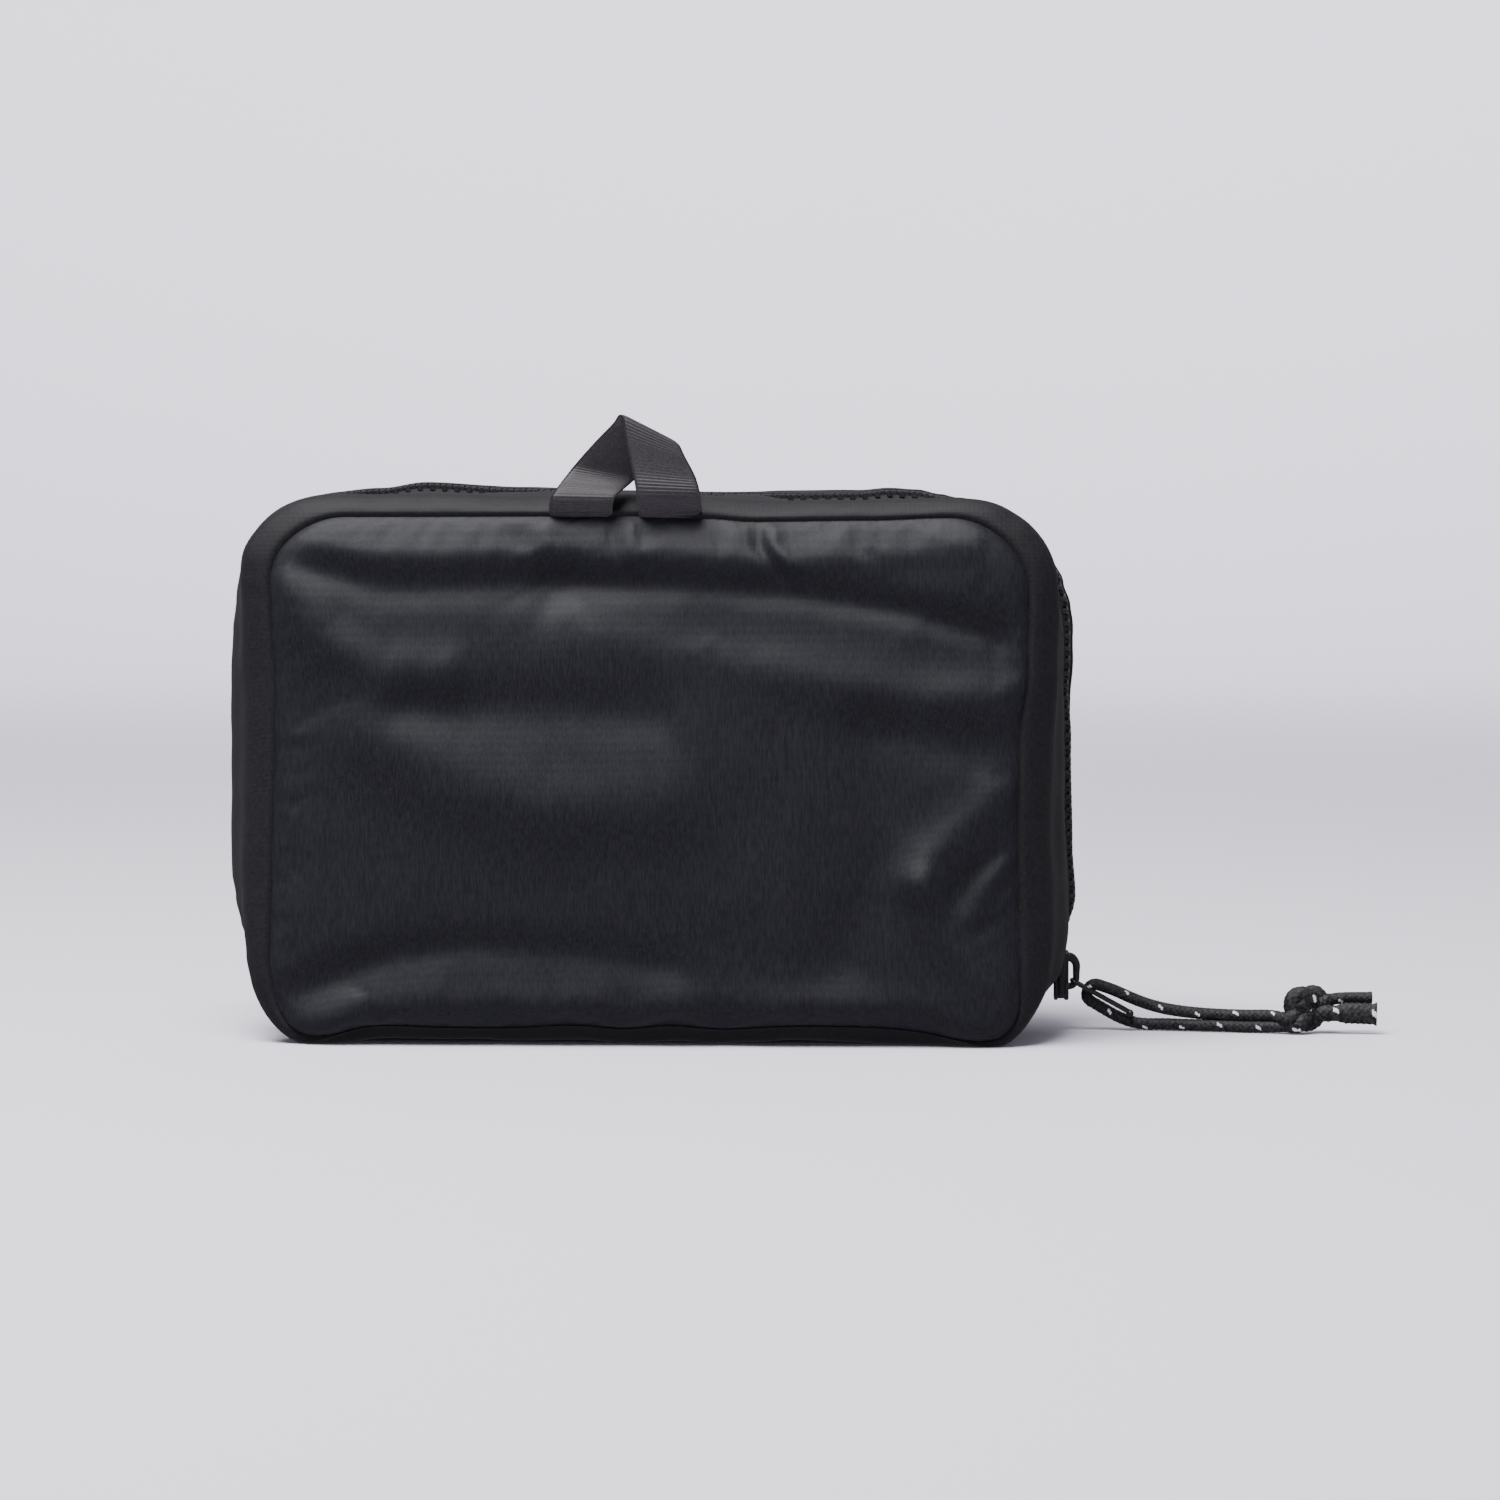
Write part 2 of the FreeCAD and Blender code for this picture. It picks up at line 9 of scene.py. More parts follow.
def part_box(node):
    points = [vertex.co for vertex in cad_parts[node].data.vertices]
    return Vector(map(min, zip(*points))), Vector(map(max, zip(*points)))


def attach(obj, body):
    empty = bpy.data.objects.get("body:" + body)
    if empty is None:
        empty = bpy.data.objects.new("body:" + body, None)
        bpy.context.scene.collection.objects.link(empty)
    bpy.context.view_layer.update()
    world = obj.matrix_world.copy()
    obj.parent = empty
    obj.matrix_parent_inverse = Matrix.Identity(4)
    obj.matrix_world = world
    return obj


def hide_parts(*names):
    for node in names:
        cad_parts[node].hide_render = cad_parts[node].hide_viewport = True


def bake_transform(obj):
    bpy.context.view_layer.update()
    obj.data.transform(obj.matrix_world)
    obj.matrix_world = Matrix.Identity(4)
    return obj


# A hanging toiletry bag of thin black nylon: a deep front half with a webbing hanging loop, a shallow lid
# behind it, a big moulded zip between them and a flecked cord on the zip's wire pull. Lengths are in metres.

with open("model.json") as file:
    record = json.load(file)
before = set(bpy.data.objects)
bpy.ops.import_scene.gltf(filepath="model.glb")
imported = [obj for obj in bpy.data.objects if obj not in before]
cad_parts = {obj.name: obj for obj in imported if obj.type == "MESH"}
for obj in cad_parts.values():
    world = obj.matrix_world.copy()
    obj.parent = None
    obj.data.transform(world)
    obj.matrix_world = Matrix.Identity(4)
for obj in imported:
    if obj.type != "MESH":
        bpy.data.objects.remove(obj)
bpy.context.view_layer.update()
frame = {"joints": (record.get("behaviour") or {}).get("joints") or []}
MM = 0.001

# ---- places read from the frame

panel_low, panel_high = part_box("main_panel")
lid_low, lid_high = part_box("lid_gusset")
rear_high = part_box("lid_panel")[1]
tail_low, tail_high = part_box("tail_panel")
slider_low, slider_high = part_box("slider_body")
slip_low, slip_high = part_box("slip_pocket")
mesh_low, mesh_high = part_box("mesh_pocket")
FOLD = tail_high.z
MOUTH_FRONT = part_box("main_gusset")[1].y
MOUTH_REAR = lid_low.y
ZIP_MIDDLE = (MOUTH_FRONT + MOUTH_REAR) / 2
SEAM = panel_high.y
REAR_SEAM = lid_high.y
HINGE = Vector(next(j for j in frame["joints"] if j["name"] == "lid_hinge")["pos_m"])

# ---- camera

VIEW_RIGHT, VIEW_ABOVE = math.radians(2.5), math.radians(3.0)
VIEW_FAR, VIEW_WIDE = 1.55, 0.469
VIEW_MIDDLE = Vector((0.0323, panel_low.y, 0.0935))
VIEW_NEAREST, VIEW_FARTHEST = 0.05, 20


def new_object(name, data):
    """An object in the scene that shows some data."""
    made = bpy.data.objects.new(name, data)
    bpy.context.scene.collection.objects.link(made)
    return made


def aimed(made, place, way):
    """Places a camera or light and points it along a direction."""
    made.location = place
    made.rotation_mode = "QUATERNION"
    made.rotation_quaternion = way.to_track_quat("-Z", "Y")


def make_camera():
    """The camera, a little to the right of the bag and a little above it."""
    flat = math.cos(VIEW_ABOVE)
    back = Vector((math.sin(VIEW_RIGHT) * flat, -math.cos(VIEW_RIGHT) * flat, math.sin(VIEW_ABOVE)))
    data = bpy.data.cameras.new("camera")
    camera = new_object("camera", data)
    aimed(camera, VIEW_MIDDLE + back * VIEW_FAR, -back)
    data.lens = data.sensor_width * VIEW_FAR / VIEW_WIDE
    data.clip_start = VIEW_NEAREST
    data.clip_end = VIEW_FARTHEST
    bpy.context.scene.camera = camera


make_camera()

# ---- materials


def material(name, colour, roughness, sheen=0.0, specular=0.5, coat=0.0):
    """A Principled material with even values."""
    made = bpy.data.materials.new(name)
    made.use_nodes = True
    inputs = made.node_tree.nodes["Principled BSDF"].inputs
    for socket, value in (
        ("Base Color", (*colour, 1)), ("Roughness", roughness), ("IOR", 1.45), ("Sheen Weight", sheen),
        ("Sheen Roughness", 0.45), ("Specular IOR Level", specular), ("Coat Weight", coat),
        ("Metallic", 0.0),
    ):
        inputs[socket].default_value = value
    return made


def add(made, kind, **values):
    """Adds a node and sets its properties and inputs by name."""
    node = made.node_tree.nodes.new(kind)
    for key, value in values.items():
        if hasattr(node, key):
            setattr(node, key, value)
        else:
            node.inputs[key.replace("_", " ")].default_value = value
    return node


def link(made, start, end):
    """Joins an output socket to an input socket."""
    made.node_tree.links.new(start, end)


def stretched(made, scale):
    """Object coordinates stretched along the axes."""
    place = add(made, "ShaderNodeTexCoord")
    mapping = add(made, "ShaderNodeMapping")
    mapping.inputs["Scale"].default_value = scale
    link(made, place.outputs["Object"], mapping.inputs["Vector"])
    return mapping.outputs["Vector"]


def mottled(made, scale, detail, dark, light, centre=(0.35, 0.65)):
    """A colour that wanders between two tones."""
    grain = add(made, "ShaderNodeTexNoise", Scale=1.0, Detail=detail)
    link(made, stretched(made, scale), grain.inputs["Vector"])
    ramp = add(made, "ShaderNodeValToRGB")
    ramp.color_ramp.elements[0].position = centre[0]
    ramp.color_ramp.elements[1].position = centre[1]
    ramp.color_ramp.elements[0].color = (*dark, 1)
    ramp.color_ramp.elements[1].color = (*light, 1)
    link(made, grain.outputs["Fac"], ramp.inputs["Fac"])
    link(made, ramp.outputs["Color"], made.node_tree.nodes["Principled BSDF"].inputs["Base Color"])
    return grain


def bumped(made, heights):
    """Bump from several (height socket, strength, distance) in a chain."""
    shader = made.node_tree.nodes["Principled BSDF"]
    last = None
    for height, strength, distance in heights:
        bump = add(made, "ShaderNodeBump", Strength=strength, Distance=distance)
        link(made, height, bump.inputs["Height"])
        if last:
            link(made, last, bump.inputs["Normal"])
        last = bump.outputs["Normal"]
    link(made, last, shader.inputs["Normal"])


WAVE_LENGTH = 0.314159


def wave(made, axis, pitch):
    """Even ribs across one axis, a pitch apart."""
    ribs = add(made, "ShaderNodeTexWave", bands_direction=axis, Scale=1.0, Distortion=0.0)
    ribs.inputs["Detail Scale"].default_value = 2.0
    link(made, stretched(made, (WAVE_LENGTH / pitch,) * 3), ribs.inputs["Vector"])
    return ribs.outputs["Fac"]


CLOTH_SPECULAR = 0.34
THREAD_DEPTH, STREAK_DEPTH, STREAK_BUMP = 0.00006, 0.00010, 0.4


def cloth_material(name, dark, light, roughness, sheen, pitch, streak, weave, uneven=0.12):
    """Woven nylon: fine threads both ways, faint long streaks and an uneven gloss."""
    made = material(name, dark, roughness, sheen, CLOTH_SPECULAR)
    streaks = mottled(made, streak, 3.0, dark, light)
    shader = made.node_tree.nodes["Principled BSDF"]
    spread = add(made, "ShaderNodeMapRange", To_Min=roughness - uneven, To_Max=roughness + uneven)
    link(made, streaks.outputs["Fac"], spread.inputs["Value"])
    link(made, spread.outputs["Result"], shader.inputs["Roughness"])
    crossing = add(made, "ShaderNodeMath", operation="ADD")
    link(made, wave(made, "X", pitch * MM), crossing.inputs[0])
    link(made, wave(made, "Z", pitch * MM), crossing.inputs[1])
    bumped(made, [
        (crossing.outputs[0], weave, THREAD_DEPTH),
        (streaks.outputs["Fac"], STREAK_BUMP, STREAK_DEPTH),
    ])
    return made


def grained(
    name, dark, light, roughness, scale=900, detail=2.0, depth=(0.25, 0.00004), ends=(0.35, 0.65), **more
):
    """A material with a fine grain in its colour and its surface."""
    made = material(name, more.pop("colour", dark), roughness, **more)
    grain = mottled(made, (scale,) * 3, detail, dark, light, ends)
    bumped(made, [(grain.outputs["Fac"], *depth)])
    return made


def enamel(name, light, roughness, coat):
    """Black enamel on die-cast metal, worn a little lighter in places."""
    return grained(
        name, (0.012, 0.012, 0.014), light, roughness, 400, 4.0, (0.15, 0.00003), (0.5, 0.8),
        specular=0.6, coat=coat,
    )


# The material of every slot. A cloth's values are two tones, roughness, sheen, thread pitch in millimetres,
# streaks, weave and uneven gloss.
LOOKS = {
    "panel_nylon": cloth_material(
        "panel_nylon", (0.0072, 0.0074, 0.0112), (0.0134, 0.0136, 0.0186), 0.49, 0.02, 0.35,
        (1900, 1900, 240), 0.5, 0.06),
    "gusset_nylon": cloth_material(
        "gusset_nylon", (0.0072, 0.0070, 0.0092), (0.0118, 0.0114, 0.0144), 0.60, 0.015, 0.4,
        (900,) * 3, 0.6, 0.06),
    "lining": cloth_material(
        "lining_cloth", (0.10, 0.105, 0.115), (0.14, 0.145, 0.155), 0.6, 0.2, 0.5, (500,) * 3, 0.4),
    "zip_tape": cloth_material(
        "zip_tape", (0.010, 0.010, 0.012), (0.016, 0.016, 0.018), 0.75, 0.08, 0.6, (600,) * 3, 0.8),
    "binding_tape": cloth_material(
        "binding_tape", (0.012, 0.012, 0.014), (0.020, 0.019, 0.022), 0.72, 0.08, 0.7, (600,) * 3, 0.9),
    "webbing": grained(
        "webbing", (0.023, 0.020, 0.023), (0.047, 0.040, 0.046), 0.55, 2600, 2.0, (0.5, 0.0001),
        colour=(0.04, 0.036, 0.04), sheen=0.12, specular=0.4),
    "zip_plastic": grained("zip_plastic", (0.020, 0.020, 0.023), (0.035, 0.036, 0.040), 0.34),
    "slider_metal": enamel("slider_enamel", (0.030, 0.030, 0.033), 0.32, 0.2),
    "pull_wire": enamel("pull_wire", (0.025, 0.025, 0.028), 0.25, 0.4),
    "braided_cord": grained("cord_yarn", (0.004, 0.004, 0.005), (0.026, 0.026, 0.028), 0.65),
    "mesh": grained("mesh_net", (0.020, 0.020, 0.022), (0.032, 0.032, 0.035), 0.6),
    "foam": grained("foam_sheet", (0.26, 0.26, 0.27), (0.32, 0.32, 0.33), 0.85),
}
FLECK_YARN = grained("reflective_yarn", (0.62, 0.63, 0.65), (0.80, 0.80, 0.82), 0.35)

# ---- mesh helpers


def mesh_object(name, verts, faces, materials, smooth=True):
    """A mesh object in the part's frame."""
    mesh = bpy.data.meshes.new(name)
    mesh.from_pydata([tuple(v) for v in verts], [], faces)
    mesh.update()
    made = new_object(name, mesh)
    for each in materials:
        mesh.materials.append(each)
    mesh.polygons.foreach_set("use_smooth", [smooth] * len(mesh.polygons))
    return made


def piece(name, verts, faces, slot, body, replaces=(), smooth=True, second=None):
    """A piece in its slot's material, which rides on a body and may replace CAD nodes."""
    made = mesh_object(name, verts, faces, [LOOKS[slot]] + ([second] if second else []), smooth)
    if body:
        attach(made, body)
    if replaces:
        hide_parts(*replaces)
    return made


def grid_faces(rows, columns, closed=False):
    """Quads over a grid of vertices stored row by row, closed round its columns or not."""
    faces = []
    for row in range(rows - 1):
        for column in range(columns if closed else columns - 1):
            a = row * columns + column
            b = row * columns + (column + 1) % columns
            faces.append((a, b, b + columns, a + columns))
    return faces


def tube_faces(count, around):
    """The faces of a closed tube with a flat cap at each end, over a number of vertices."""
    return grid_faces(count // around, around, True) + [
        tuple(range(around))[::-1], tuple(range(count - around, count))
    ]


def catmull(values, place):
    """A smooth curve through a list of tuples, at a place from 0 to 1."""
    spans = len(values) - 1
    at = min(max(place, 0.0), 1.0) * spans
    index = min(int(at), spans - 1)
    part = at - index
    p0 = values[max(index - 1, 0)]
    p1, p2 = values[index], values[index + 1]
    p3 = values[min(index + 2, spans)]
    return tuple(
        0.5 * (
            2 * b + (c - a) * part
            + (2 * a - 5 * b + 4 * c - d) * part ** 2
            + (3 * b - a - 3 * c + d) * part ** 3
        )
        for a, b, c, d in zip(p0, p1, p2, p3)
    )


LONG_STEPS, SHORT_STEPS, CORNER_STEPS = 100, 62, 26


def outline(half, low, high, radius):
    """Points round a rounded rectangle and their outward directions, from the bottom left."""
    points = []
    inner, foot, head = half - radius, low + radius, high - radius
    for steps, start, end, way, middle in (
        (LONG_STEPS, (-inner, low), (inner, low), (0, -1), (inner, foot)),
        (SHORT_STEPS, (half, foot), (half, head), (1, 0), (inner, head)),
        (LONG_STEPS, (inner, high), (-inner, high), (0, 1), (-inner, head)),
        (SHORT_STEPS, (-half, head), (-half, foot), (-1, 0), (-inner, foot)),
    ):
        for share in (step / steps for step in range(steps)):
            place = (a + (b - a) * share for a, b in zip(start, end))
            points.append((*place, *way))
        first = math.degrees(math.atan2(way[1], way[0]))
        for step in range(CORNER_STEPS):
            angle = math.radians(first + 90 * step / CORNER_STEPS)
            away = (math.cos(angle), math.sin(angle))
            points.append((middle[0] + radius * away[0], middle[1] + radius * away[1], *away))
    return points


def soft_noise(point, scale, seed=0.0):
    """Smooth noise from -1 to 1 at a point in metres, with features about a scale in millimetres across."""
    return noise.noise(Vector(point) / (scale * MM) + Vector((seed, seed * 1.7, seed * 0.3)))


# How far the stuffed bag's walls stand from their even outline, in millimetres: at a height for the sides,
# at a place across for the top, and separately for the front seam, the front half's mouth and the lid.
LEFT_SEAM = [
    (5, -0.6), (18, -1.4), (31, -2.0), (55, -1.4), (85, -0.4), (112, 0.0), (138, -1.2), (156, -2.6),
    (166, -2.0),
]
RIGHT_SEAM = [(5, -3.0), (18, -2.0), (39, -0.8), (70, -1.4), (97, -0.8), (118, 1.6), (145, 2.0), (166, 1.0)]
LEFT_MOUTH = [
    (0, 4.8), (6, 5.0), (13, 5.0), (20, 4.8), (28, 2.2), (36, -0.8), (44, -2.6), (52, -3.8), (67, -4.1),
    (99, -3.9), (114, -3.8), (130, -2.8), (140, -1.5), (150, -0.3), (174, 0.0),
]
RIGHT_MOUTH = [
    (0, -5.0), (6, -4.6), (13, -3.0), (20, -1.4), (35, 0.2), (50, 0.4), (100, -1.2), (130, -1.8),
    (150, -4.4), (174, -4.6),
]
LEFT_LID = [(0, 4.8), (15, 5.0), (28, 2.0), (45, -1.2), (60, -2.0), (110, -2.0), (140, -0.6), (174, 0.0)]
RIGHT_LID = [
    (0, -5.0), (13, -3.6), (18, -2.4), (24, -0.8), (30, 0.6), (44, 2.2), (60, 1.2), (90, 0.6), (107, 1.4),
    (120, 2.2), (130, 2.2), (138, 1.4), (146, -0.8), (153, -3.2), (161, -4.6), (174, -5.0),
]
TOP_SEAM = [(-118, 0.4), (0, 0.6), (20, -0.2), (32, -1.1), (70, -0.7), (93, 0.1), (118, 0.0)]
TOP_MOUTH = [
    (-132, 0.0), (-100, -0.6), (-70, -0.8), (-40, 0.0), (0, 0.0), (30, -0.8), (48, -3.2), (90, -4.3),
    (104, -4.8), (113, -4.8), (122, -4.0), (132, -2.5),
]
TOP_LID = [
    (-132, -0.4), (-112, -0.2), (-90, 1.7), (-76, 3.6), (-45, 1.9), (-15, 0.6), (40, 0.3), (64, 0.6),
    (76, 1.6), (86, 1.2), (95, -0.4), (101, -1.6), (107, -2.2), (113, -2.5), (120, -2.2), (132, -1.8),
]
SIDES = ((LEFT_SEAM, RIGHT_SEAM), (LEFT_MOUTH, RIGHT_MOUTH), (LEFT_LID, RIGHT_LID))

# Where each of these effects fades in or out, in millimetres along y, across x and up.
FRONT_FADE, LID_FADE, REAR_FADE, REAR_SHARE = (-37, -14), (7, 17), (26, 38), 0.55
SIDE_FADE, TOP_FADE, FOOT_FADE = (62, 112), (128, 166), (4, 26)
BASE_HALF, BASE_FADE, BASE_RISE = 112, 25, 0.8
SCALLOP, SCALLOP_PITCH, SCALLOP_DRIFT, SCALLOP_SWAY = 0.5, 7.2, 19, 1.4
CORNER_ACROSS, CORNER_UP = (108, 15), (12, 13)
CORNER_PULL = {"left": (-3.0, 6.2), "right": (6.2, 7.4)}
CORNER_LIFT, LIFT_ACROSS, LIFT_UP = 2.0, (96, 126), (4, 30)
UNDERSIDE_LIFT, UNDERSIDE_UP, UNDERSIDE_BACK = 3.4, (1.0, 5.5), (-37.5, -27)


def ramp(value, low, high):
    """0 at low, 1 at high, and even between."""
    return min(max((value - low) / (high - low), 0), 1)


def eased(value, low, high):
    """0 at low, 1 at high, and smooth between."""
    share = ramp(value, low, high)
    return share * share * (3 - 2 * share)


def grown(distance, reach):
    """0 at no distance, and nearly 1 past a few times the reach, which is in millimetres."""
    return 1 - math.exp(-distance / (reach * MM))


def hump(value, middle, reach):
    """1 at a middle, and fading on both sides within about a reach."""
    return math.exp(-(((value - middle) / reach) ** 2))


def between(table, value):
    """The value of a small table of (place, value) at a place, eased from one to the next."""
    if value <= table[0][0]:
        return table[0][1]
    for (a, first), (b, second) in zip(table, table[1:]):
        if value <= b:
            return first + (second - first) * eased(value, a, b)
    return table[-1][1]


def scallop(x):
    """The uneven waves of a stuffed lower edge, from -1 to 1 at a place across in millimetres."""
    return math.sin(x / SCALLOP_PITCH + SCALLOP_SWAY * math.sin(x / SCALLOP_DRIFT))


def settled(point):
    """A point of the even shape, moved to where the soft bag has settled."""
    x, y, z = (c / MM for c in point)
    front = 1 - eased(y, *FRONT_FADE)
    lid = eased(y, *LID_FADE)
    rear = 1 - REAR_SHARE * eased(y, *REAR_FADE)
    seam_dx, mouth_dx, lid_dx = (between(left if x < 0 else right, z) for left, right in SIDES)
    body_dx = mouth_dx + (lid_dx - mouth_dx) * lid
    dx = (body_dx + (seam_dx - body_dx) * front) * eased(abs(x), *SIDE_FADE) * rear
    body_dz = between(TOP_MOUTH, x) + (between(TOP_LID, x) - between(TOP_MOUTH, x)) * lid
    dz = (body_dz + (between(TOP_SEAM, x) - body_dz) * front) * eased(z, *TOP_FADE) * rear
    flat = eased(BASE_HALF - abs(x), 0, BASE_FADE)
    dz += (BASE_RISE * flat + SCALLOP * scallop(x) * flat) * front * (1 - eased(z, *FOOT_FADE))
    corner = hump(abs(x), *CORNER_ACROSS) * hump(z, *CORNER_UP) * front
    dz += CORNER_LIFT * eased(abs(x), *LIFT_ACROSS) * (1 - eased(z, *LIFT_UP))
    out, down = CORNER_PULL["left" if x < 0 else "right"]
    dx += out * corner
    dz -= down * corner
    dz += UNDERSIDE_LIFT * flat * (1 - eased(z, *UNDERSIDE_UP)) * (1 - eased(y, *UNDERSIDE_BACK))
    return Vector((x + dx, y, max(z + dz, 0.0))) * MM


def wall(name, stations, rows, slot, body, replaces=(), bump=None):
    """A soft wall lofted through stations, and raised by bump(point, share)."""
    verts = []
    for share in (row / (rows - 1) for row in range(rows)):
        y, *shape = catmull(stations, share)
        for x, z, nx, nz in outline(*shape):
            point = Vector((x, y, z))
            if bump:
                point += Vector((nx, 0, nz)) * bump(point, share)
            verts.append(settled(point))
    return piece(name, verts, grid_faces(rows, len(verts) // rows, True), slot, body, replaces)


def cut(made, height, above):
    """Keeps what lies above a height, or below it."""
    mesh = bmesh.new()
    mesh.from_mesh(made.data)
    bmesh.ops.bisect_plane(
        mesh, geom=mesh.verts[:] + mesh.edges[:] + mesh.faces[:], plane_co=(0, 0, height),
        plane_no=(0, 0, 1), clear_inner=above, clear_outer=not above,
    )
    mesh.to_mesh(made.data)
    mesh.free()
    return made


def in_metres(*rows):
    """Rows of millimetres in metres. A wall's stations are (y, half width, low, high, radius)."""
    return [tuple(value * MM for value in row) for row in rows]


# ---- cord of the zip pull, made before the rest

CORD_RADIUS = 1.95 * MM
KNOT = Vector((209.4, 7.0, 8.05)) * MM
BIGHT_LEAN = math.radians(20)

UPPER_ROUTE = [
    (148.2, 14.1, 12.9), (154.4, 14.2, 10.0), (162.0, 13.4, 7.5), (170.5, 12.2, 6.2),
    (180.5, 10.4, 5.6), (191.0, 8.4, 5.5), (199.0, 7.2, 5.8),
]
LOWER_ROUTE = [
    (145.4, 14.0, 6.4), (150.4, 14.1, 3.7), (156.4, 14.2, 1.95), (163.5, 13.4, 2.2),
    (172.0, 11.4, 2.1), (181.5, 9.5, 2.15), (192.0, 7.5, 1.95), (199.0, 6.4, 2.2),
]
UPPER_TAIL = [(217.0, 9.2, 10.9), (222.6, 10.0, 11.3), (230.6, 10.4, 11.2)]
LOWER_TAIL = [(217.0, 5.6, 6.6), (223.2, 5.4, 6.8), (231.9, 4.8, 6.5)]


def millimetres(points):
    """Points given in millimetres, as vectors in metres."""
    return [Vector(point) * MM for point in points]


def smooth_points(name, controls):
    """Points along the NURBS spline that has these control points."""
    data = bpy.data.curves.new(name, "CURVE")
    data.dimensions = "3D"
    data.resolution_u = 14
    spline = data.splines.new("NURBS")
    spline.points.add(len(controls) - 1)
    for held, point in zip(spline.points, controls):
        held.co = (*point, 1)
    spline.order_u = 3
    spline.use_endpoint_u = True
    holder = bpy.data.objects.new(name, data)
    mesh = bpy.data.meshes.new_from_object(holder)
    path = [vertex.co.copy() for vertex in mesh.vertices]
    bpy.data.objects.remove(holder)
    bpy.data.meshes.remove(mesh)
    bpy.data.curves.remove(data)
    return path


def length_of(path):
    """The length of a line of points."""
    return sum((b - a).length for a, b in zip(path, path[1:]))


def evenly(path, step):
    """The same line with points an even step apart."""
    total = length_of(path)
    count = max(2, round(total / step))
    places, made, run, index = [total * i / count for i in range(count + 1)], [], 0.0, 0
    for place in places:
        while index < len(path) - 2 and run + (path[index + 1] - path[index]).length < place:
            run += (path[index + 1] - path[index]).length
            index += 1
        span = (path[index + 1] - path[index]).length
        made.append(path[index].lerp(path[index + 1], min(max((place - run) / span, 0), 1) if span else 0))
    return made


def carried(path, first_up, closed=False):
    """A frame (side, up) at every point of a line, carried along it without twisting."""
    frames = []
    up = Vector(first_up)
    count = len(path)
    for index, point in enumerate(path):
        before = path[index - 1] if index or closed else point
        after = path[(index + 1) % count] if index < count - 1 or closed else point
        along = (after - before).normalized()
        up = (up - along * up.dot(along)).normalized()
        frames.append((up.cross(along), up))
    return frames


def swept(
    name, path, first_up, half_side, half_up, slot, body, replaces=(), power=2.0, around=16, closed=False,
    scale=None,
):
    """A rounded bar along a line. Its section is a superellipse, which scale(share) thins in places."""
    verts = []
    for index, (point, (side, up)) in enumerate(zip(path, carried(path, first_up, closed))):
        share = index / (len(path) - 1)
        factor = scale(share) if scale else 1.0
        for step in range(around):
            angle = 2 * math.pi * step / around
            c, s = math.cos(angle), math.sin(angle)
            a = math.copysign(abs(c) ** (2 / power), c) * half_side * factor
            b = math.copysign(abs(s) ** (2 / power), s) * half_up * factor
            verts.append(point + side * a + up * b)
    if not closed:
        return piece(name, verts, tube_faces(len(verts), around), slot, body, replaces)
    faces = grid_faces(len(path), around, True)
    last = (len(path) - 1) * around
    faces += [(last + k, last + (k + 1) % around, (k + 1) % around, k) for k in range(around)]
    return piece(name, verts, faces, slot, body, replaces)


CORD_AROUND = 40
CORD_STEP = 0.33 * MM
BRAID_STRANDS, BRAID_PITCH = 4, 1.9 * MM
BRAID_LOW, BRAID_DEEP = 0.84, 0.18
FLECK_PITCH, FLECK_LONG, FLECK_WIDE, FLECK_LEAN = 6.15 * MM, 0.85 * MM, 0.50 * MM, 0.55
KNOT_REACH, KNOT_BLEND, KNOT_SWELL = 9.5 * MM, 3 * MM, 0.45
TAIL_LONG, TAIL_BLEND, TAIL_FRAY = 16 * MM, 6 * MM, 1.6 * MM


def braid_relief(angle, along):
    """Height of the braid's diamonds, 0 in the grooves and 1 on the strands."""
    turn = math.pi * along / (BRAID_STRANDS * BRAID_PITCH)
    one, other = (math.cos(BRAID_STRANDS * (angle + way * turn)) for way in (1, -1))
    return math.sqrt(abs(one * other))


def is_fleck(angle, along, start):
    """Whether a place on the braid lies on one of the short pale flecks."""
    number = round((along - start) / FLECK_PITCH)
    off = along - start - number * FLECK_PITCH
    middle = math.pi * (number % 2) + 0.45 * math.sin(number * 2.3)
    turn = (angle - middle + math.pi) % (2 * math.pi) - math.pi
    return abs(off) < FLECK_LONG and abs(turn * CORD_RADIUS - FLECK_LEAN * off) < FLECK_WIDE


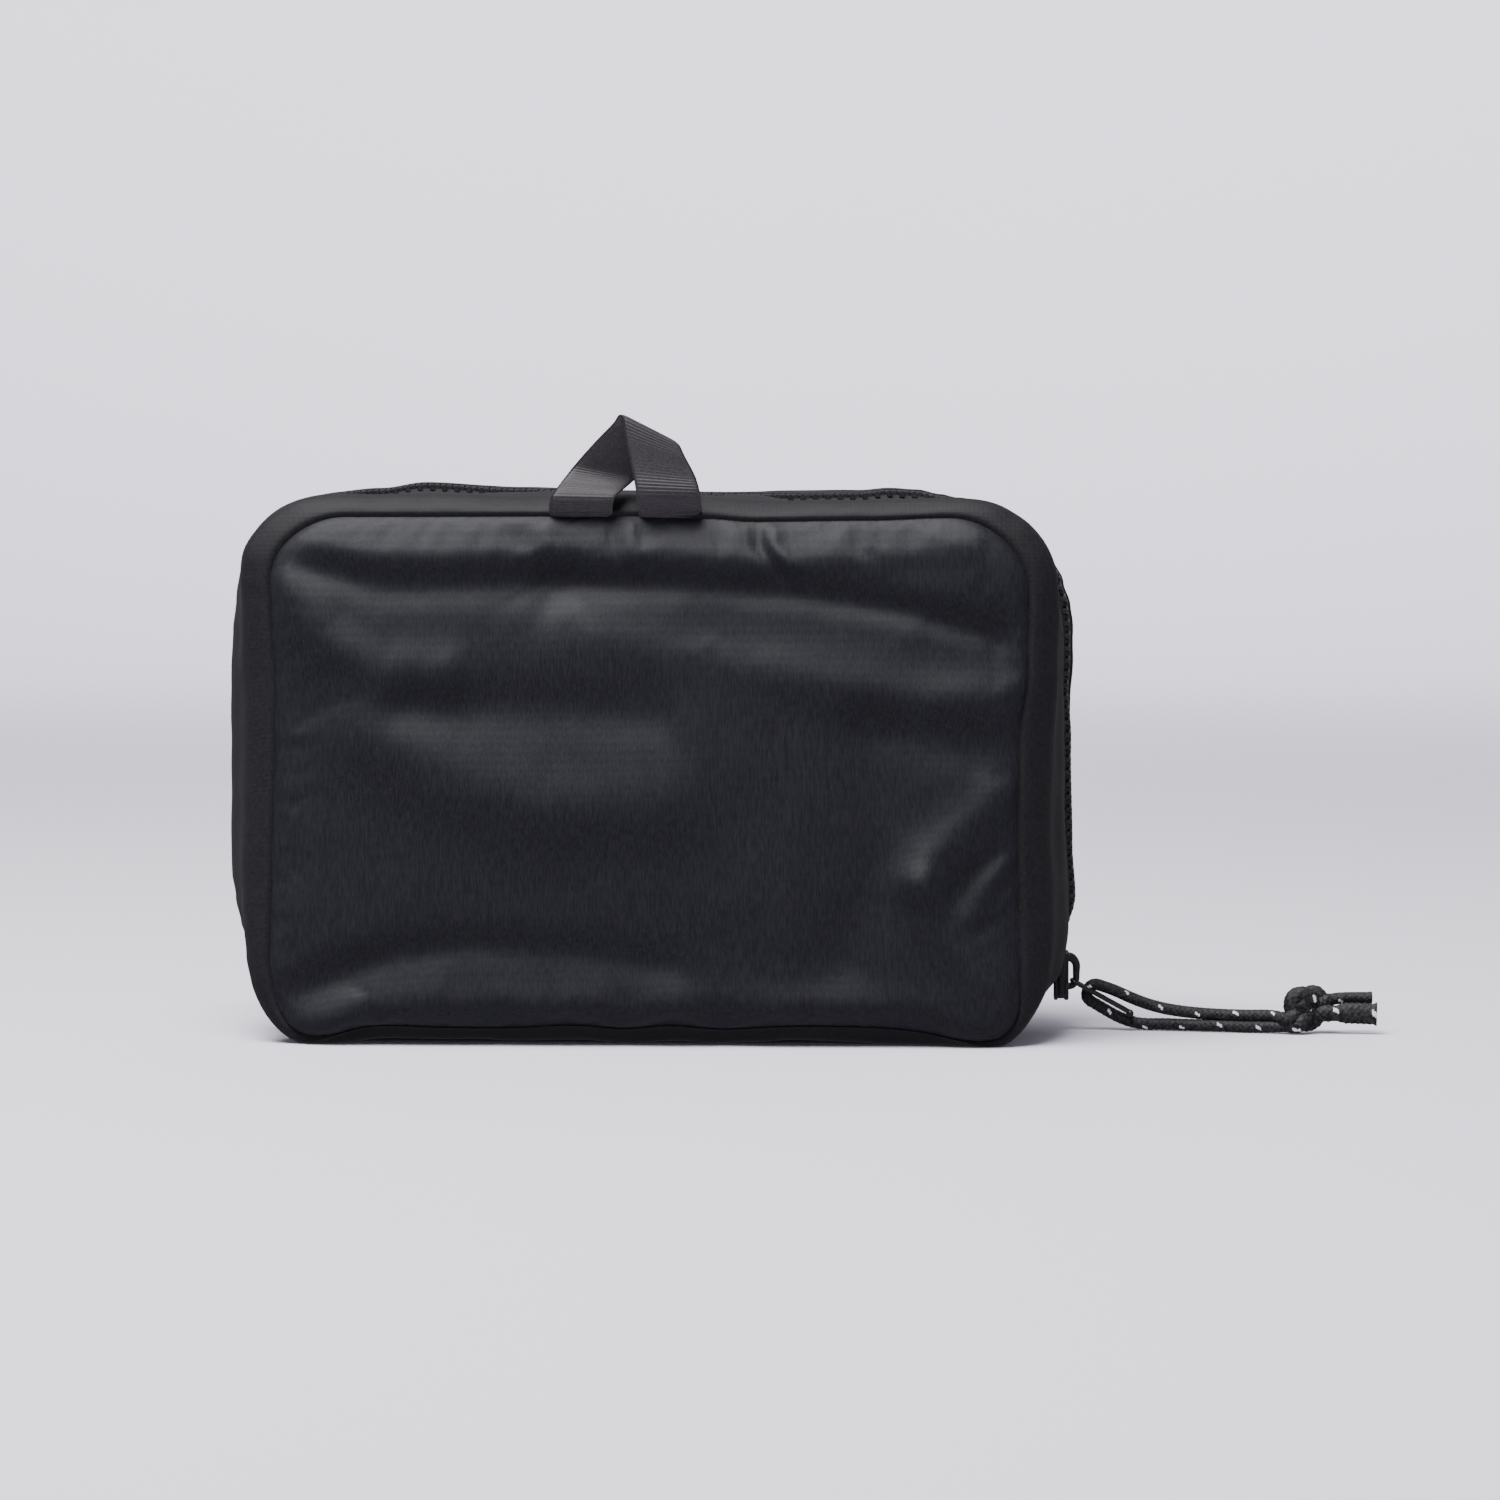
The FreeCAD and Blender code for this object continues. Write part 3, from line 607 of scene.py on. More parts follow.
def braided(name, controls, start, tail_radius, splay, replaces):
    """One leg of the braided cord, with its flecks, on a line read from its NURBS spline."""
    path = smooth_points(name + "_line", controls)
    line = evenly(path, CORD_STEP)
    total = length_of(line)
    spans = len(line) - 1
    verts = []
    for index, (point, (side, up)) in enumerate(zip(line, carried(line, (0, -0.2, 1)))):
        along = total * index / spans
        late = min(max((along - total + TAIL_LONG) / TAIL_BLEND, 0), 1)
        radius = CORD_RADIUS + (tail_radius - CORD_RADIUS) * late
        radius *= 1 + 0.10 * max(0.0, 1 - (total - along) / TAIL_FRAY)
        radius *= 1 + KNOT_SWELL * eased(KNOT_REACH - (point - KNOT).length, 0, KNOT_BLEND)
        tall = 1 + (splay - 1) * late
        for step in range(CORD_AROUND):
            angle = 2 * math.pi * step / CORD_AROUND
            out = side * math.cos(angle) + up * math.sin(angle)
            out = Vector((out.x, out.y / math.sqrt(tall), out.z * tall))
            verts.append(point + out * (radius * (BRAID_LOW + BRAID_DEEP * braid_relief(angle, along))))
    faces = grid_faces(len(line), CORD_AROUND, True)
    first, last = len(verts), len(verts) + 1
    base = first - CORD_AROUND
    verts += [line[0], line[-1] - (line[-1] - line[-4]) * 0.6]
    faces += [(first, (k + 1) % CORD_AROUND, k) for k in range(CORD_AROUND)]
    faces += [(last, base + k, base + (k + 1) % CORD_AROUND) for k in range(CORD_AROUND)]
    made = piece(name, verts, faces, "braided_cord", "zip_pull", replaces, True, FLECK_YARN)
    chosen = [
        int(is_fleck(2 * math.pi * (step + 0.5) / CORD_AROUND, total * (row + 0.5) / spans, start))
        for row in range(spans) for step in range(CORD_AROUND)
    ]
    made.data.polygons.foreach_set("material_index", chosen + [0] * (2 * CORD_AROUND))


BIGHT_MIDDLE = Vector((142.25, 14.0, 11.75)) * MM
BIGHT_TURN = [(-3.0, 0.0), (-2.9, 1.5), (-1.6, 3.1), (1.6, 3.1), (2.9, 1.5), (3.0, 0.0)]


def bight_points():
    """The half turn of the cord through the wire loop, from below it to above it."""
    across = Vector((math.sin(BIGHT_LEAN), 0, math.cos(BIGHT_LEAN)))
    out = Vector((-math.cos(BIGHT_LEAN), 0, math.sin(BIGHT_LEAN)))
    return [BIGHT_MIDDLE + across * (a * MM) + out * (b * MM) for a, b in BIGHT_TURN]


KNOT_SCALE, KNOT_DEEP, KNOT_APART = 1.55, 1.4, 1.7
UPPER_FLECK, LOWER_FLECK = 6.2 * MM, 12.0 * MM
LOWER_TAIL_RADIUS, LOWER_SPLAY = 2.4 * MM, 1.45
KNOT_START, KNOT_END, KNOT_POINTS = -2.05, 1.88, 26


def knot_line(turn):
    """The middle line of an overhand knot, in millimetres from the knot's middle, at a turn from -2 to 2."""
    return Vector((
        KNOT_SCALE * (turn ** 3 - 3 * turn),
        KNOT_DEEP * (turn ** 5 - 10 * turn) / 5,
        -KNOT_SCALE * (turn ** 4 - 4 * turn ** 2 + 2),
    ))


def knot_side(beside):
    """One leg's way through the knot, a distance beside the knot's middle line."""
    made = []
    for index in range(KNOT_POINTS + 1):
        turn = KNOT_START + (KNOT_END - KNOT_START) * index / KNOT_POINTS
        along = knot_line(turn + 0.01) - knot_line(turn - 0.01)
        made.append(KNOT + (knot_line(turn) + Vector((-along.z, 0, along.x)).normalized() * beside) * MM)
    return made


def make_cords():
    """Both legs of the cord, from the wire loop through the doubled knot to their cut tails."""
    bight = bight_points()
    upper = bight + millimetres(UPPER_ROUTE) + knot_side(KNOT_APART) + millimetres(UPPER_TAIL)
    lower = bight[:1] + millimetres(LOWER_ROUTE) + knot_side(-KNOT_APART) + millimetres(LOWER_TAIL)
    braided(
        "cord_upper_leg", upper, UPPER_FLECK, CORD_RADIUS, 1.0,
        ("cord_bight", "cord_upper", "cord_tail_upper"),
    )
    braided(
        "cord_lower_leg", lower, LOWER_FLECK, LOWER_TAIL_RADIUS, LOWER_SPLAY,
        ("cord_lower", "cord_tail_lower", "cord_knot"),
    )


make_cords()

# ---- soft panels


def corner_mapped(x, z, half, low, high, radius):
    """A point of the full rectangle, drawn in so that the rectangle's corners become round."""
    middle = (low + high) / 2
    inner_x, inner_z = half - radius, (high - low) / 2 - radius
    a = (abs(x) - inner_x) / radius
    b = (abs(z - middle) - inner_z) / radius
    if a <= 0 or b <= 0:
        return x, z
    new_a = a * math.sqrt(1 - b * b / 2)
    new_b = b * math.sqrt(1 - a * a / 2)
    return (
        math.copysign(inner_x + new_a * radius, x),
        middle + math.copysign(inner_z + new_b * radius, z - middle),
    )


def edge_distance(x, z, half, low, high, radius):
    """How far inside the rounded rectangle a point is."""
    a = abs(x) - (half - radius)
    b = abs(z - (low + high) / 2) - ((high - low) / 2 - radius)
    outside = math.hypot(max(a, 0), max(b, 0))
    return radius - outside - min(max(a, b), 0)


def line_distance(x, z, line):
    """Distance from a point to a line of points, and how far along it the nearest place is, from 0 to 1."""
    best, share = 1e9, 0.0
    spans = len(line) - 1
    for index in range(spans):
        (ax, az), (bx, bz) = line[index], line[index + 1]
        dx, dz = bx - ax, bz - az
        part = min(max(((x - ax) * dx + (z - az) * dz) / (dx * dx + dz * dz), 0), 1)
        distance = math.hypot(x - ax - dx * part, z - az - dz * part)
        if distance < best:
            best, share = distance, (index + part) / spans
    return best, share


def folded(x, z, folds):
    """Height of the folds at a point. Each is a line, a height and a half width in millimetres, and its
    strength at both ends."""
    height = 0.0
    for line, tall, wide, first, last in folds:
        distance, share = line_distance(x / MM, z / MM, line)
        if distance < 3.2 * wide:
            strength = first + (last - first) * share
            height += tall * strength * hump(distance, 0, wide)
    return height * MM


def sheet_panel(name, shape, y, toward, height, step, slot, body, replaces=()):
    """A sheet over a rounded rectangle (half, low, high, radius) at y, raised by height(x, z, edge) to the
    front (toward = -1) or the rear (1)."""
    half, low, high, radius = shape
    columns = round(2 * half / step) + 1
    rows = round((high - low) / step) + 1
    verts = []
    for row in range(rows):
        for column in range(columns):
            x = -half + 2 * half * column / (columns - 1)
            z = low + (high - low) * row / (rows - 1)
            x, z = corner_mapped(x, z, half, low, high, radius)
            edge = max(edge_distance(x, z, half, low, high, radius), 0.0)
            flat = settled((x, y, z))
            verts.append((flat.x, y + toward * height(x, z, edge), flat.z))
    faces = grid_faces(rows, columns)
    if toward > 0:
        faces = [face[::-1] for face in faces]
    return piece(name, verts, faces, slot, body, replaces)


def pillow(edge, roll, roll_width, crown, crown_width):
    """A sewn panel's swell in millimetres: a quick roll at its seam and a slow crown over its middle."""
    return roll * MM * grown(edge, roll_width) + crown * MM * grown(edge, crown_width)


FRONT_FOLDS = [
    ([(-113, 158), (-86, 154), (-55, 154), (-24, 154), (15, 154), (46, 153), (70, 155), (101, 158)],
     1.7, 5.0, 1.0, 0.8),
    ([(-113, 154), (-82, 144), (-50, 144), (-26, 145)], -3.0, 6.0, 0.6, 0.6),
    ([(-30, 146), (7, 145), (46, 143), (78, 138), (109, 129)], -2.6, 5.0, 0.7, 1.0),
    ([(-26, 140), (7, 138), (46, 134), (78, 129), (106, 121)], -1.9, 11.0, 0.6, 1.0),
    ([(-120, 150), (-101, 128), (-83, 117), (-64, 117)], 4.6, 9.0, 0.8, 0.6),
    ([(-74, 108), (-40, 106), (1, 105)], -2.4, 9.0, 1.0, 0.7),
    ([(-86, 98), (-64, 84), (-32, 75), (4, 76)], 3.8, 13.0, 0.9, 0.8),
    ([(-21, 131), (15, 123), (54, 114), (86, 108), (120, 113)], 1.2, 7.5, 0.7, 1.8),
    ([(70, 103), (93, 97), (117, 92)], -2.4, 8.5, 0.6, 1.0),
    ([(72, 94), (75, 70), (70, 47), (62, 31)], -2.6, 11.0, 0.9, 0.8),
    ([(118, 83), (101, 70), (89, 60), (86, 52)], 3.0, 7.5, 0.7, 1.0),
    ([(86, 52), (91, 40), (102, 26), (116, 13)], 2.6, 7.0, 1.0, 0.9),
    ([(117, 62), (107, 50), (102, 41)], 1.8, 3.4, 1.0, 0.6),
    ([(117, 49), (108, 40)], 1.2, 2.8, 1.0, 0.5),
    ([(112, 62), (104, 56), (98, 48)], -1.2, 3.6, 1.0, 0.7),
    ([(113, 44), (106, 38)], -0.8, 2.8, 1.0, 0.7),
    ([(-115, 16), (-99, 23), (-79, 29), (-55, 32), (-24, 30), (8, 26)], -2.8, 5.5, 1.0, 0.4),
    ([(-110, 6), (-86, 9), (-66, 11), (-40, 11), (-1, 10.5), (39, 10), (98, 9)], 5.4, 8.5, 1.0, 0.62),
    ([(-12, 166), (-10, 154)], -1.7, 1.9, 1.0, 0.5),
    ([(-6, 166), (-4, 153)], 1.5, 2.3, 1.0, 0.6),
    ([(22, 166), (23, 155)], -1.1, 1.7, 1.0, 0.4),
    ([(27, 166), (27, 155)], 0.9, 2.1, 1.0, 0.4),
    ([(34, 166), (35, 158), (42, 149)], -2.2, 2.1, 1.0, 0.9),
    ([(39, 166), (40, 158), (45, 151)], 2.2, 2.5, 1.0, 0.8),
    ([(23.7, 128), (24, 112), (23.5, 90)], -0.30, 0.9, 0.6, 0.8),
    ([(52.6, 103), (53, 76), (54, 47)], -0.28, 0.9, 0.7, 0.7),
]


SEAM_EASE = 5


def front_height(x, z, edge):
    """The front panel's swell: seam roll, crown, folds, soft unevenness and waves along its lower edge."""
    inside = grown(edge, SEAM_EASE)
    height = pillow(edge, 2.6, 2.4, 4.6, 26)
    height += folded(x, z, FRONT_FOLDS) * inside
    height += 0.55 * MM * soft_noise((x, 0, z), 30, 3.1) * inside
    height += 0.22 * MM * soft_noise((x * 1.3, 0, z * 0.6), 9, 7.7) * inside
    height += 0.8 * MM * scallop(x / MM) * hump(z, panel_low.z, 9 * MM) * inside
    return max(height, 1.1 * MM * inside)


SETTLE_FRAMES = 20
SETTLE_LIMIT = 1.6 * MM
SETTLING = {
    "quality": 6, "mass": 0.12, "tension_stiffness": 20, "compression_stiffness": 20, "shear_stiffness": 8,
    "bending_stiffness": 0.6, "vertex_group_mass": "sewn", "use_pressure": True,
    "uniform_pressure_force": 4.0,
}
SEAM_SHARE = 0.5 * MM


def settle_cloth(made, held, spare):
    """Settles a sheet as cloth under a little pressure, pinned where held(place) is true."""
    scene = bpy.context.scene
    start = [vertex.co.copy() for vertex in made.data.vertices]
    pins = made.vertex_groups.new(name="sewn")
    pins.add([vertex.index for vertex in made.data.vertices if held(vertex.co)], 1.0, "REPLACE")
    modifier = made.modifiers.new("settling", "CLOTH")
    for key, value in SETTLING.items():
        setattr(modifier.settings, key, value)
    modifier.settings.shrink_min = -spare
    modifier.settings.effector_weights.gravity = 0.0
    modifier.point_cache.frame_start = 1
    modifier.point_cache.frame_end = SETTLE_FRAMES
    for number in range(1, SETTLE_FRAMES + 1):
        scene.frame_set(number)
    result = made.evaluated_get(bpy.context.evaluated_depsgraph_get()).data
    moved = [vertex.co - before for vertex, before in zip(result.vertices, start)]
    made.modifiers.remove(modifier)
    for vertex, before, shift in zip(made.data.vertices, start, moved):
        vertex.co = before + shift * (SETTLE_LIMIT / (SETTLE_LIMIT + shift.length))
    made.data.update()
    scene.frame_set(1)


PANEL_CORNER, BEND_HALF = 24 * MM, 5 * MM
FRONT_SHAPE = (panel_high.x, panel_low.z, panel_high.z, PANEL_CORNER)
front_panel = sheet_panel(
    "front_panel", FRONT_SHAPE, SEAM + 0.6 * MM, -1, front_height, 1.5 * MM, "panel_nylon", "front_half",
    ("main_panel",),
)
settle_cloth(front_panel, lambda place: place.y > SEAM - SEAM_SHARE, 0.012)

REAR_FOLDS = [
    ([(-118, 158), (-92, 146), (-62, 136), (-30, 131)], 2.4, 7.0, 1.0, 0.3),
    ([(118, 158), (96, 140), (76, 118), (66, 92)], 2.6, 8.0, 1.0, 0.2),
    ([(-96, 152), (-60, 147), (-10, 145), (50, 149), (90, 154)], -1.8, 7.0, 0.7, 0.8),
    ([(-104, 92), (-60, 101), (-12, 97), (30, 88)], -1.6, 10.0, 0.4, 0.8),
    ([(-86, 70), (-40, 79), (10, 74), (52, 66)], 1.7, 12.0, 0.6, 0.7),
    ([(-118, 34), (-80, 31), (-20, 30), (40, 31), (118, 34)], -1.0, 4.0, 1.0, 1.0),
    ([(-112, 14), (-70, 17), (0, 15), (60, 18), (112, 14)], 1.0, 5.0, 0.8, 1.0),
    ([(60, 60), (84, 84), (100, 112)], -1.0, 9.0, 0.4, 1.0),
]


def rear_height(x, z, edge):
    """The rear panel's swell, which is flatter, with a crease where the lid folds down."""
    inside = grown(edge, SEAM_EASE)
    height = pillow(edge, 1.6, 2.2, 2.6, 24)
    height += folded(x, z, REAR_FOLDS) * inside
    height += 0.4 * MM * soft_noise((x, 0, z), 32, 5.2) * inside
    return height + 0.15 * MM * soft_noise((x, 0, z), 9, 9.4) * inside


REAR_SHAPE = (rear_high.x, tail_low.z, rear_high.z, PANEL_CORNER)
rear_panel = sheet_panel(
    "rear_panel", REAR_SHAPE, REAR_SEAM - 0.6 * MM, 1, rear_height, 2 * MM, "panel_nylon", None,
    ("tail_panel", "lid_panel"),
)
settle_cloth(rear_panel, lambda place: place.y < REAR_SEAM + SEAM_SHARE, 0.014)
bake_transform(rear_panel)

# ---- gussets

FRONT_STATIONS = in_metres(
    (-37.4, 117.0, 5.6, 165.4, 24), (-37.9, 119.4, 3.4, 167.6, 25),
    (-35.6, 122.8, 0.9, 170.2, 26), (-31.4, 126.2, 0.0, 172.1, 27),
    (-22.0, 129.6, 0.0, 173.6, 27.5), (-8.0, 132.0, 0.0, 174.1, 28),
    (2.0, 131.9, 0.0, 174.0, 28), (7.4, 131.4, 0.0, 173.6, 27.5),
    (8.4, 131.2, 0.0, 172.9, 27), (6.8, 130.4, 0.0, 172.1, 26),
)
REAR_STATIONS = in_metres(
    (21.2, 130.4, 0.0, 172.1, 26), (19.6, 131.2, 0.0, 172.9, 27),
    (20.4, 132.1, 0.0, 173.9, 27.5), (25.0, 132.0, 0.0, 173.6, 28),
    (31.0, 129.0, 0.0, 172.0, 27), (35.6, 125.0, 1.2, 169.6, 26),
    (37.9, 121.6, 3.4, 167.8, 25), (37.4, 119.4, 5.6, 166.4, 24),
)
NECK_STATIONS = in_metres(
    (7.0, 131.0, 0.4, 173, 27), (14.0, 131.2, 0.3, 173, 27), (21.0, 131.0, 0.4, 173, 27),
)


def pleat(point, pitch, away):
    """Small pleats round the bag, from -1 to 1, that fade away from a seam."""
    round_bag = math.atan2(point.z - 85 * MM, point.x * 0.65) * 130 * MM
    waves = math.sin(round_bag / (pitch * MM) + 3 * soft_noise(point, 25))
    return waves * math.exp(-away / (4 * MM))


def front_bump(point, share):
    """The front gusset's swell: rolled and pleated beside its seam, and softly creased elsewhere."""
    away = point.y - SEAM
    height = 0.28 * MM * pleat(point, 1.6, away) * (0.6 + 0.6 * soft_noise(point, 20, 4.0))
    height += 0.7 * MM * hump(away, 7 * MM, 4 * MM) - 0.6 * MM * hump(away, 16 * MM, 5 * MM)
    height += 0.45 * MM * soft_noise(point, 13, 2.2) + 0.9 * MM * soft_noise(point, 38, 6.1)
    return height * ramp(share, 0.08, 0.23) * ramp(share, 0.86, 0.74)


def rear_bump(point, share):
    """The rear gusset's swell, like the front one's but narrower."""
    height = 0.22 * MM * pleat(point, 1.7, REAR_SEAM - point.y)
    height += 0.35 * MM * soft_noise(point, 12, 8.2) + 0.6 * MM * soft_noise(point, 36, 1.1)
    return height * ramp(share, 0.24, 0.36) * ramp(share, 0.92, 0.80)


FRONT_ROWS, REAR_ROWS, NECK_ROWS = 60, 34, 8
FOLD_GAP, NECK_TOP = 0.15 * MM, 8 * MM


def make_gussets():
    """The walls round both halves: one fabric below the fold, and split by the zip above it."""
    cloth = "gusset_nylon"
    wall("front_gusset", FRONT_STATIONS, FRONT_ROWS, cloth, "front_half", ("main_gusset",), front_bump)
    lid = wall("lid_wall", REAR_STATIONS, REAR_ROWS, cloth, "lid", ("lid_gusset",), rear_bump)
    cut(lid, FOLD + FOLD_GAP, True)
    tail = wall("tail_wall", REAR_STATIONS, REAR_ROWS, cloth, "front_half", ("tail_gusset",), rear_bump)
    cut(tail, FOLD, False)
    neck = wall("bottom_bridge", NECK_STATIONS, NECK_ROWS, cloth, "front_half")
    cut(neck, NECK_TOP, False)


make_gussets()


def open_above(path, height):
    """The part of a closed line above a height, in one run from the right foot to the left foot."""
    count = len(path)
    start = 1 + next(
        i for i in range(count) if path[i].z < height <= path[(i + 1) % count].z and path[i].x > 0
    )
    kept = []
    while path[start % count].z >= height:
        kept.append(path[start % count])
        start += 1
    return kept


def mouth_shape(inset):
    """The outline of the mouth, drawn in by a length."""
    return (132 * MM - inset, inset, 174 * MM - inset, 27 * MM - inset)


ZIP_FOOT = 9 * MM
FRONT_BINDING, LID_BINDING = in_metres((126.4, 3.9, 169.0, 25, 6.0), (125.4, 5.0, 167.8, 25, 22.0))
BINDING_HALVES = (2.0 * MM, 0.6 * MM)


def make_bindings():
    """Tapes that bind the raw seams inside both halves, cut off where the halves part."""
    for name, (*shape, y), body, node, above in (
        ("front_seam_binding", FRONT_BINDING, "front_half", "main_binding", ZIP_FOOT + 20 * MM),
        ("lid_seam_binding", LID_BINDING, "lid", "lid_binding", FOLD + 0.6 * MM),
    ):
        path = open_above([settled((x, y, z)) for x, z, nx, nz in outline(*shape)], above)
        swept(name, path, (1, 0, 0), *BINDING_HALVES, "binding_tape", body, (node,), 3.0, 12)


make_bindings()

# ---- zip

TOOTH_PITCH, TOOTH_STEPS = 4.0 * MM, 8
TOOTH_SECTIONS = [
    (-3.4, 0.62, 0.95), (-2.9, 0.80, 1.15), (-0.6, 0.74, 1.12), (0.4, 0.92, 1.18), (1.5, 0.90, 1.12),
    (1.9, 0.62, 0.85),
]
TOOTH_RING = [(1, 0.45), (0.6, 1), (-0.6, 1), (-1, 0.45), (-1, -0.6), (-0.7, -1), (0.7, -1), (1, -0.6)]
TOOTH_SLANT = 0.22
TOOTH_INSET, TAPE_INSET, TAPE_HALF = 2.0 * MM, 2.6 * MM, 0.35 * MM
TAPE_STEPS = 6
ZIP_PROUD, PROUD_OUT, PROUD_FROM, PROUD_TO = (
    1.9 * MM, (110 * MM, 128 * MM), (28 * MM, 44 * MM), (92 * MM, 112 * MM)
)


def zip_place(x, y, z):
    """A point of the zip: it follows the lid, and stands a little proud on the right side."""
    point = settled((x, max(y, 17 * MM), z))
    proud = eased(point.x, *PROUD_OUT) * eased(point.z, *PROUD_FROM)
    proud *= 1 - eased(point.z, *PROUD_TO)
    return Vector((point.x + ZIP_PROUD * proud, y, point.z))


def tooth(origin, along, out, side):
    """One moulded tooth: a chamfered bar from its tape to a wider head past the middle of the zip."""
    verts = []
    for reach, wide, tall in TOOTH_SECTIONS:
        centre = origin + Vector((0, side * reach * MM, 0)) + along * (reach * TOOTH_SLANT * side * MM)
        verts += [centre + along * (a * wide * MM) + out * (b * tall * MM) for a, b in TOOTH_RING]
    return verts


def tooth_row(name, side, low, high, offset, body, replaces=()):
    """A row of teeth along the mouth between two heights, from the front tape (1) or the lid's tape (-1)."""
    path = [zip_place(x, ZIP_MIDDLE, z) for x, z, nx, nz in outline(*mouth_shape(TOOTH_INSET))]
    line = evenly(open_above(path, ZIP_FOOT), TOOTH_PITCH / TOOTH_STEPS)
    verts, faces = [], []
    for index in range(offset + 2, len(line) - 2, TOOTH_STEPS):
        if not low <= line[index].z < high:
            continue
        along = (line[index + 1] - line[index - 1]).normalized()
        out = along.cross(Vector((0, 1, 0)))
        more = tooth(line[index], along, -out if out.dot(line[index] - HINGE) < 0 else out, side)
        faces += [tuple(k + len(verts) for k in face) for face in tube_faces(len(more), len(TOOTH_RING))]
        verts += more
    piece(name, verts, faces, "zip_plastic", body, replaces, False)


def tape(name, y, edge_y, low, body, replaces=(), top=None):
    """One of the zip's tapes: sewn to its half at y, and following the teeth at its other edge."""
    loops = []
    for side in (TAPE_HALF, -TAPE_HALF):
        for step in range(TAPE_STEPS) if side > 0 else reversed(range(TAPE_STEPS)):
            share = step / (TAPE_STEPS - 1)
            places = [
                (x + nx * side, y + (edge_y - y) * share, z + nz * side)
                for x, z, nx, nz in outline(*mouth_shape(TAPE_INSET))
            ]
            loops.append([settled(place).lerp(zip_place(*place), share) for place in places])
    verts = [point for ring in zip(*loops) for point in ring]
    made = piece(name, verts, grid_faces(len(loops[0]), len(loops), True), "zip_tape", body, replaces)
    cut(made, low, True)
    if top:
        cut(made, top, False)


def make_zip():
    """Both tapes and rows of teeth, and the short length of zip below the fold."""
    near = (MOUTH_FRONT - 1 * MM, ZIP_MIDDLE - 1.4 * MM)
    far = (MOUTH_REAR + 1 * MM, ZIP_MIDDLE + 1.4 * MM)
    tape("front_tape", *near, ZIP_FOOT, "front_half", ("zip_tape_main",))
    tape("lid_tape", *far, FOLD + 0.3 * MM, "lid", ("zip_tape_lid",))
    tape("foot_tape", *far, ZIP_FOOT, "front_half", (), FOLD)
    tooth_row("front_teeth", 1, 0, 1, 0, "front_half", ("zip_teeth_main",))
    tooth_row("lid_teeth", -1, FOLD + 1.2 * MM, 1, 4, "lid", ("zip_teeth_lid",))
    tooth_row("foot_teeth", -1, 0, FOLD - 0.6 * MM, 4, "front_half")


make_zip()


def stop_piece(side):
    """A moulded stop across the foot of the zip."""
    low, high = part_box(f"zip_stop_{side}")
    middle = (low + high) / 2
    path = [Vector((middle.x, low.y + (high.y - low.y) * k / 10, middle.z)) for k in range(11)]
    swept(f"foot_stop_{side}", path, (0, 0, 1), (high.x - low.x) / 2, (high.z - low.z) / 2, "zip_plastic",
          "front_half", (f"zip_stop_{side}",), 4.0, scale=lambda share: 1 - 0.35 * abs(2 * share - 1) ** 6)


stop_piece("left")
stop_piece("right")


def plate(name, low_x, high_x, shape, bevel, replaces=()):
    """A flat enamelled plate across x with a rounded edge, whose outline is a list of (y, z)."""
    count = len(shape)
    middle_y = sum(y for y, z in shape) / count
    middle_z = sum(z for y, z in shape) / count
    layers = [(low_x, bevel), (low_x + 0.3 * bevel, 0.3 * bevel), (low_x + bevel, 0), (high_x - bevel, 0),
              (high_x - 0.3 * bevel, 0.3 * bevel), (high_x, bevel)]
    verts = []
    for x, inset in layers:
        for y, z in shape:
            away = Vector((y - middle_y, z - middle_z))
            away *= 1 - inset / away.length
            verts.append((x, middle_y + away.x, middle_z + away.y))
    piece(name, verts, tube_faces(len(verts), count), "slider_metal", "zip_slider", replaces)


SLIDER_RIGHT = [
    (0.0, 0.055), (0.45, 0.0), (0.84, 0.02), (1.0, 0.13), (0.97, 0.36), (0.78, 0.62), (0.70, 0.84),
    (0.52, 0.97), (0.0, 1.0),
]
SLIDER_POINTS = 64
OUTER_THICK, INNER_THICK = 1.5 * MM, 1.3 * MM
WEDGE_HALF_WIDE, WEDGE_HALF_TALL, WEDGE_UP = 1.2 * MM, 2.6 * MM, 4.2 * MM
FLANGE_IN, FLANGE_ASIDE, FLANGE_TURN = 2.4 * MM, 4.4 * MM, 1.2 * MM
FLANGE_LOW, FLANGE_LONG = 0.7 * MM, 13.6 * MM
FLANGE_HALVES, ARCH_HALVES = (0.6 * MM, 1.5 * MM), (1.5 * MM, 1.1 * MM)
SLIDER_ARCH = [
    (-0.7, 23.6), (0.5, 23.7), (1.7, 22.9), (2.5, 21.2), (2.5, 18.6), (2.4, 16.4), (1.6, 14.8), (0.4, 14.3),
    (-0.7, 14.4),
]


def slider_outline():
    """The slider's plate: two shoulders at its lower end, and a narrower waist and nose above."""
    half = (slider_high.y - slider_low.y) / 2
    tall = slider_high.z - slider_low.z
    points = SLIDER_RIGHT + [(-a, b) for a, b in reversed(SLIDER_RIGHT[1:-1])] + SLIDER_RIGHT[:1]
    places = (catmull(points, k / SLIDER_POINTS) for k in range(SLIDER_POINTS))
    return [(ZIP_MIDDLE + a * half, slider_low.z + b * tall) for a, b in places]


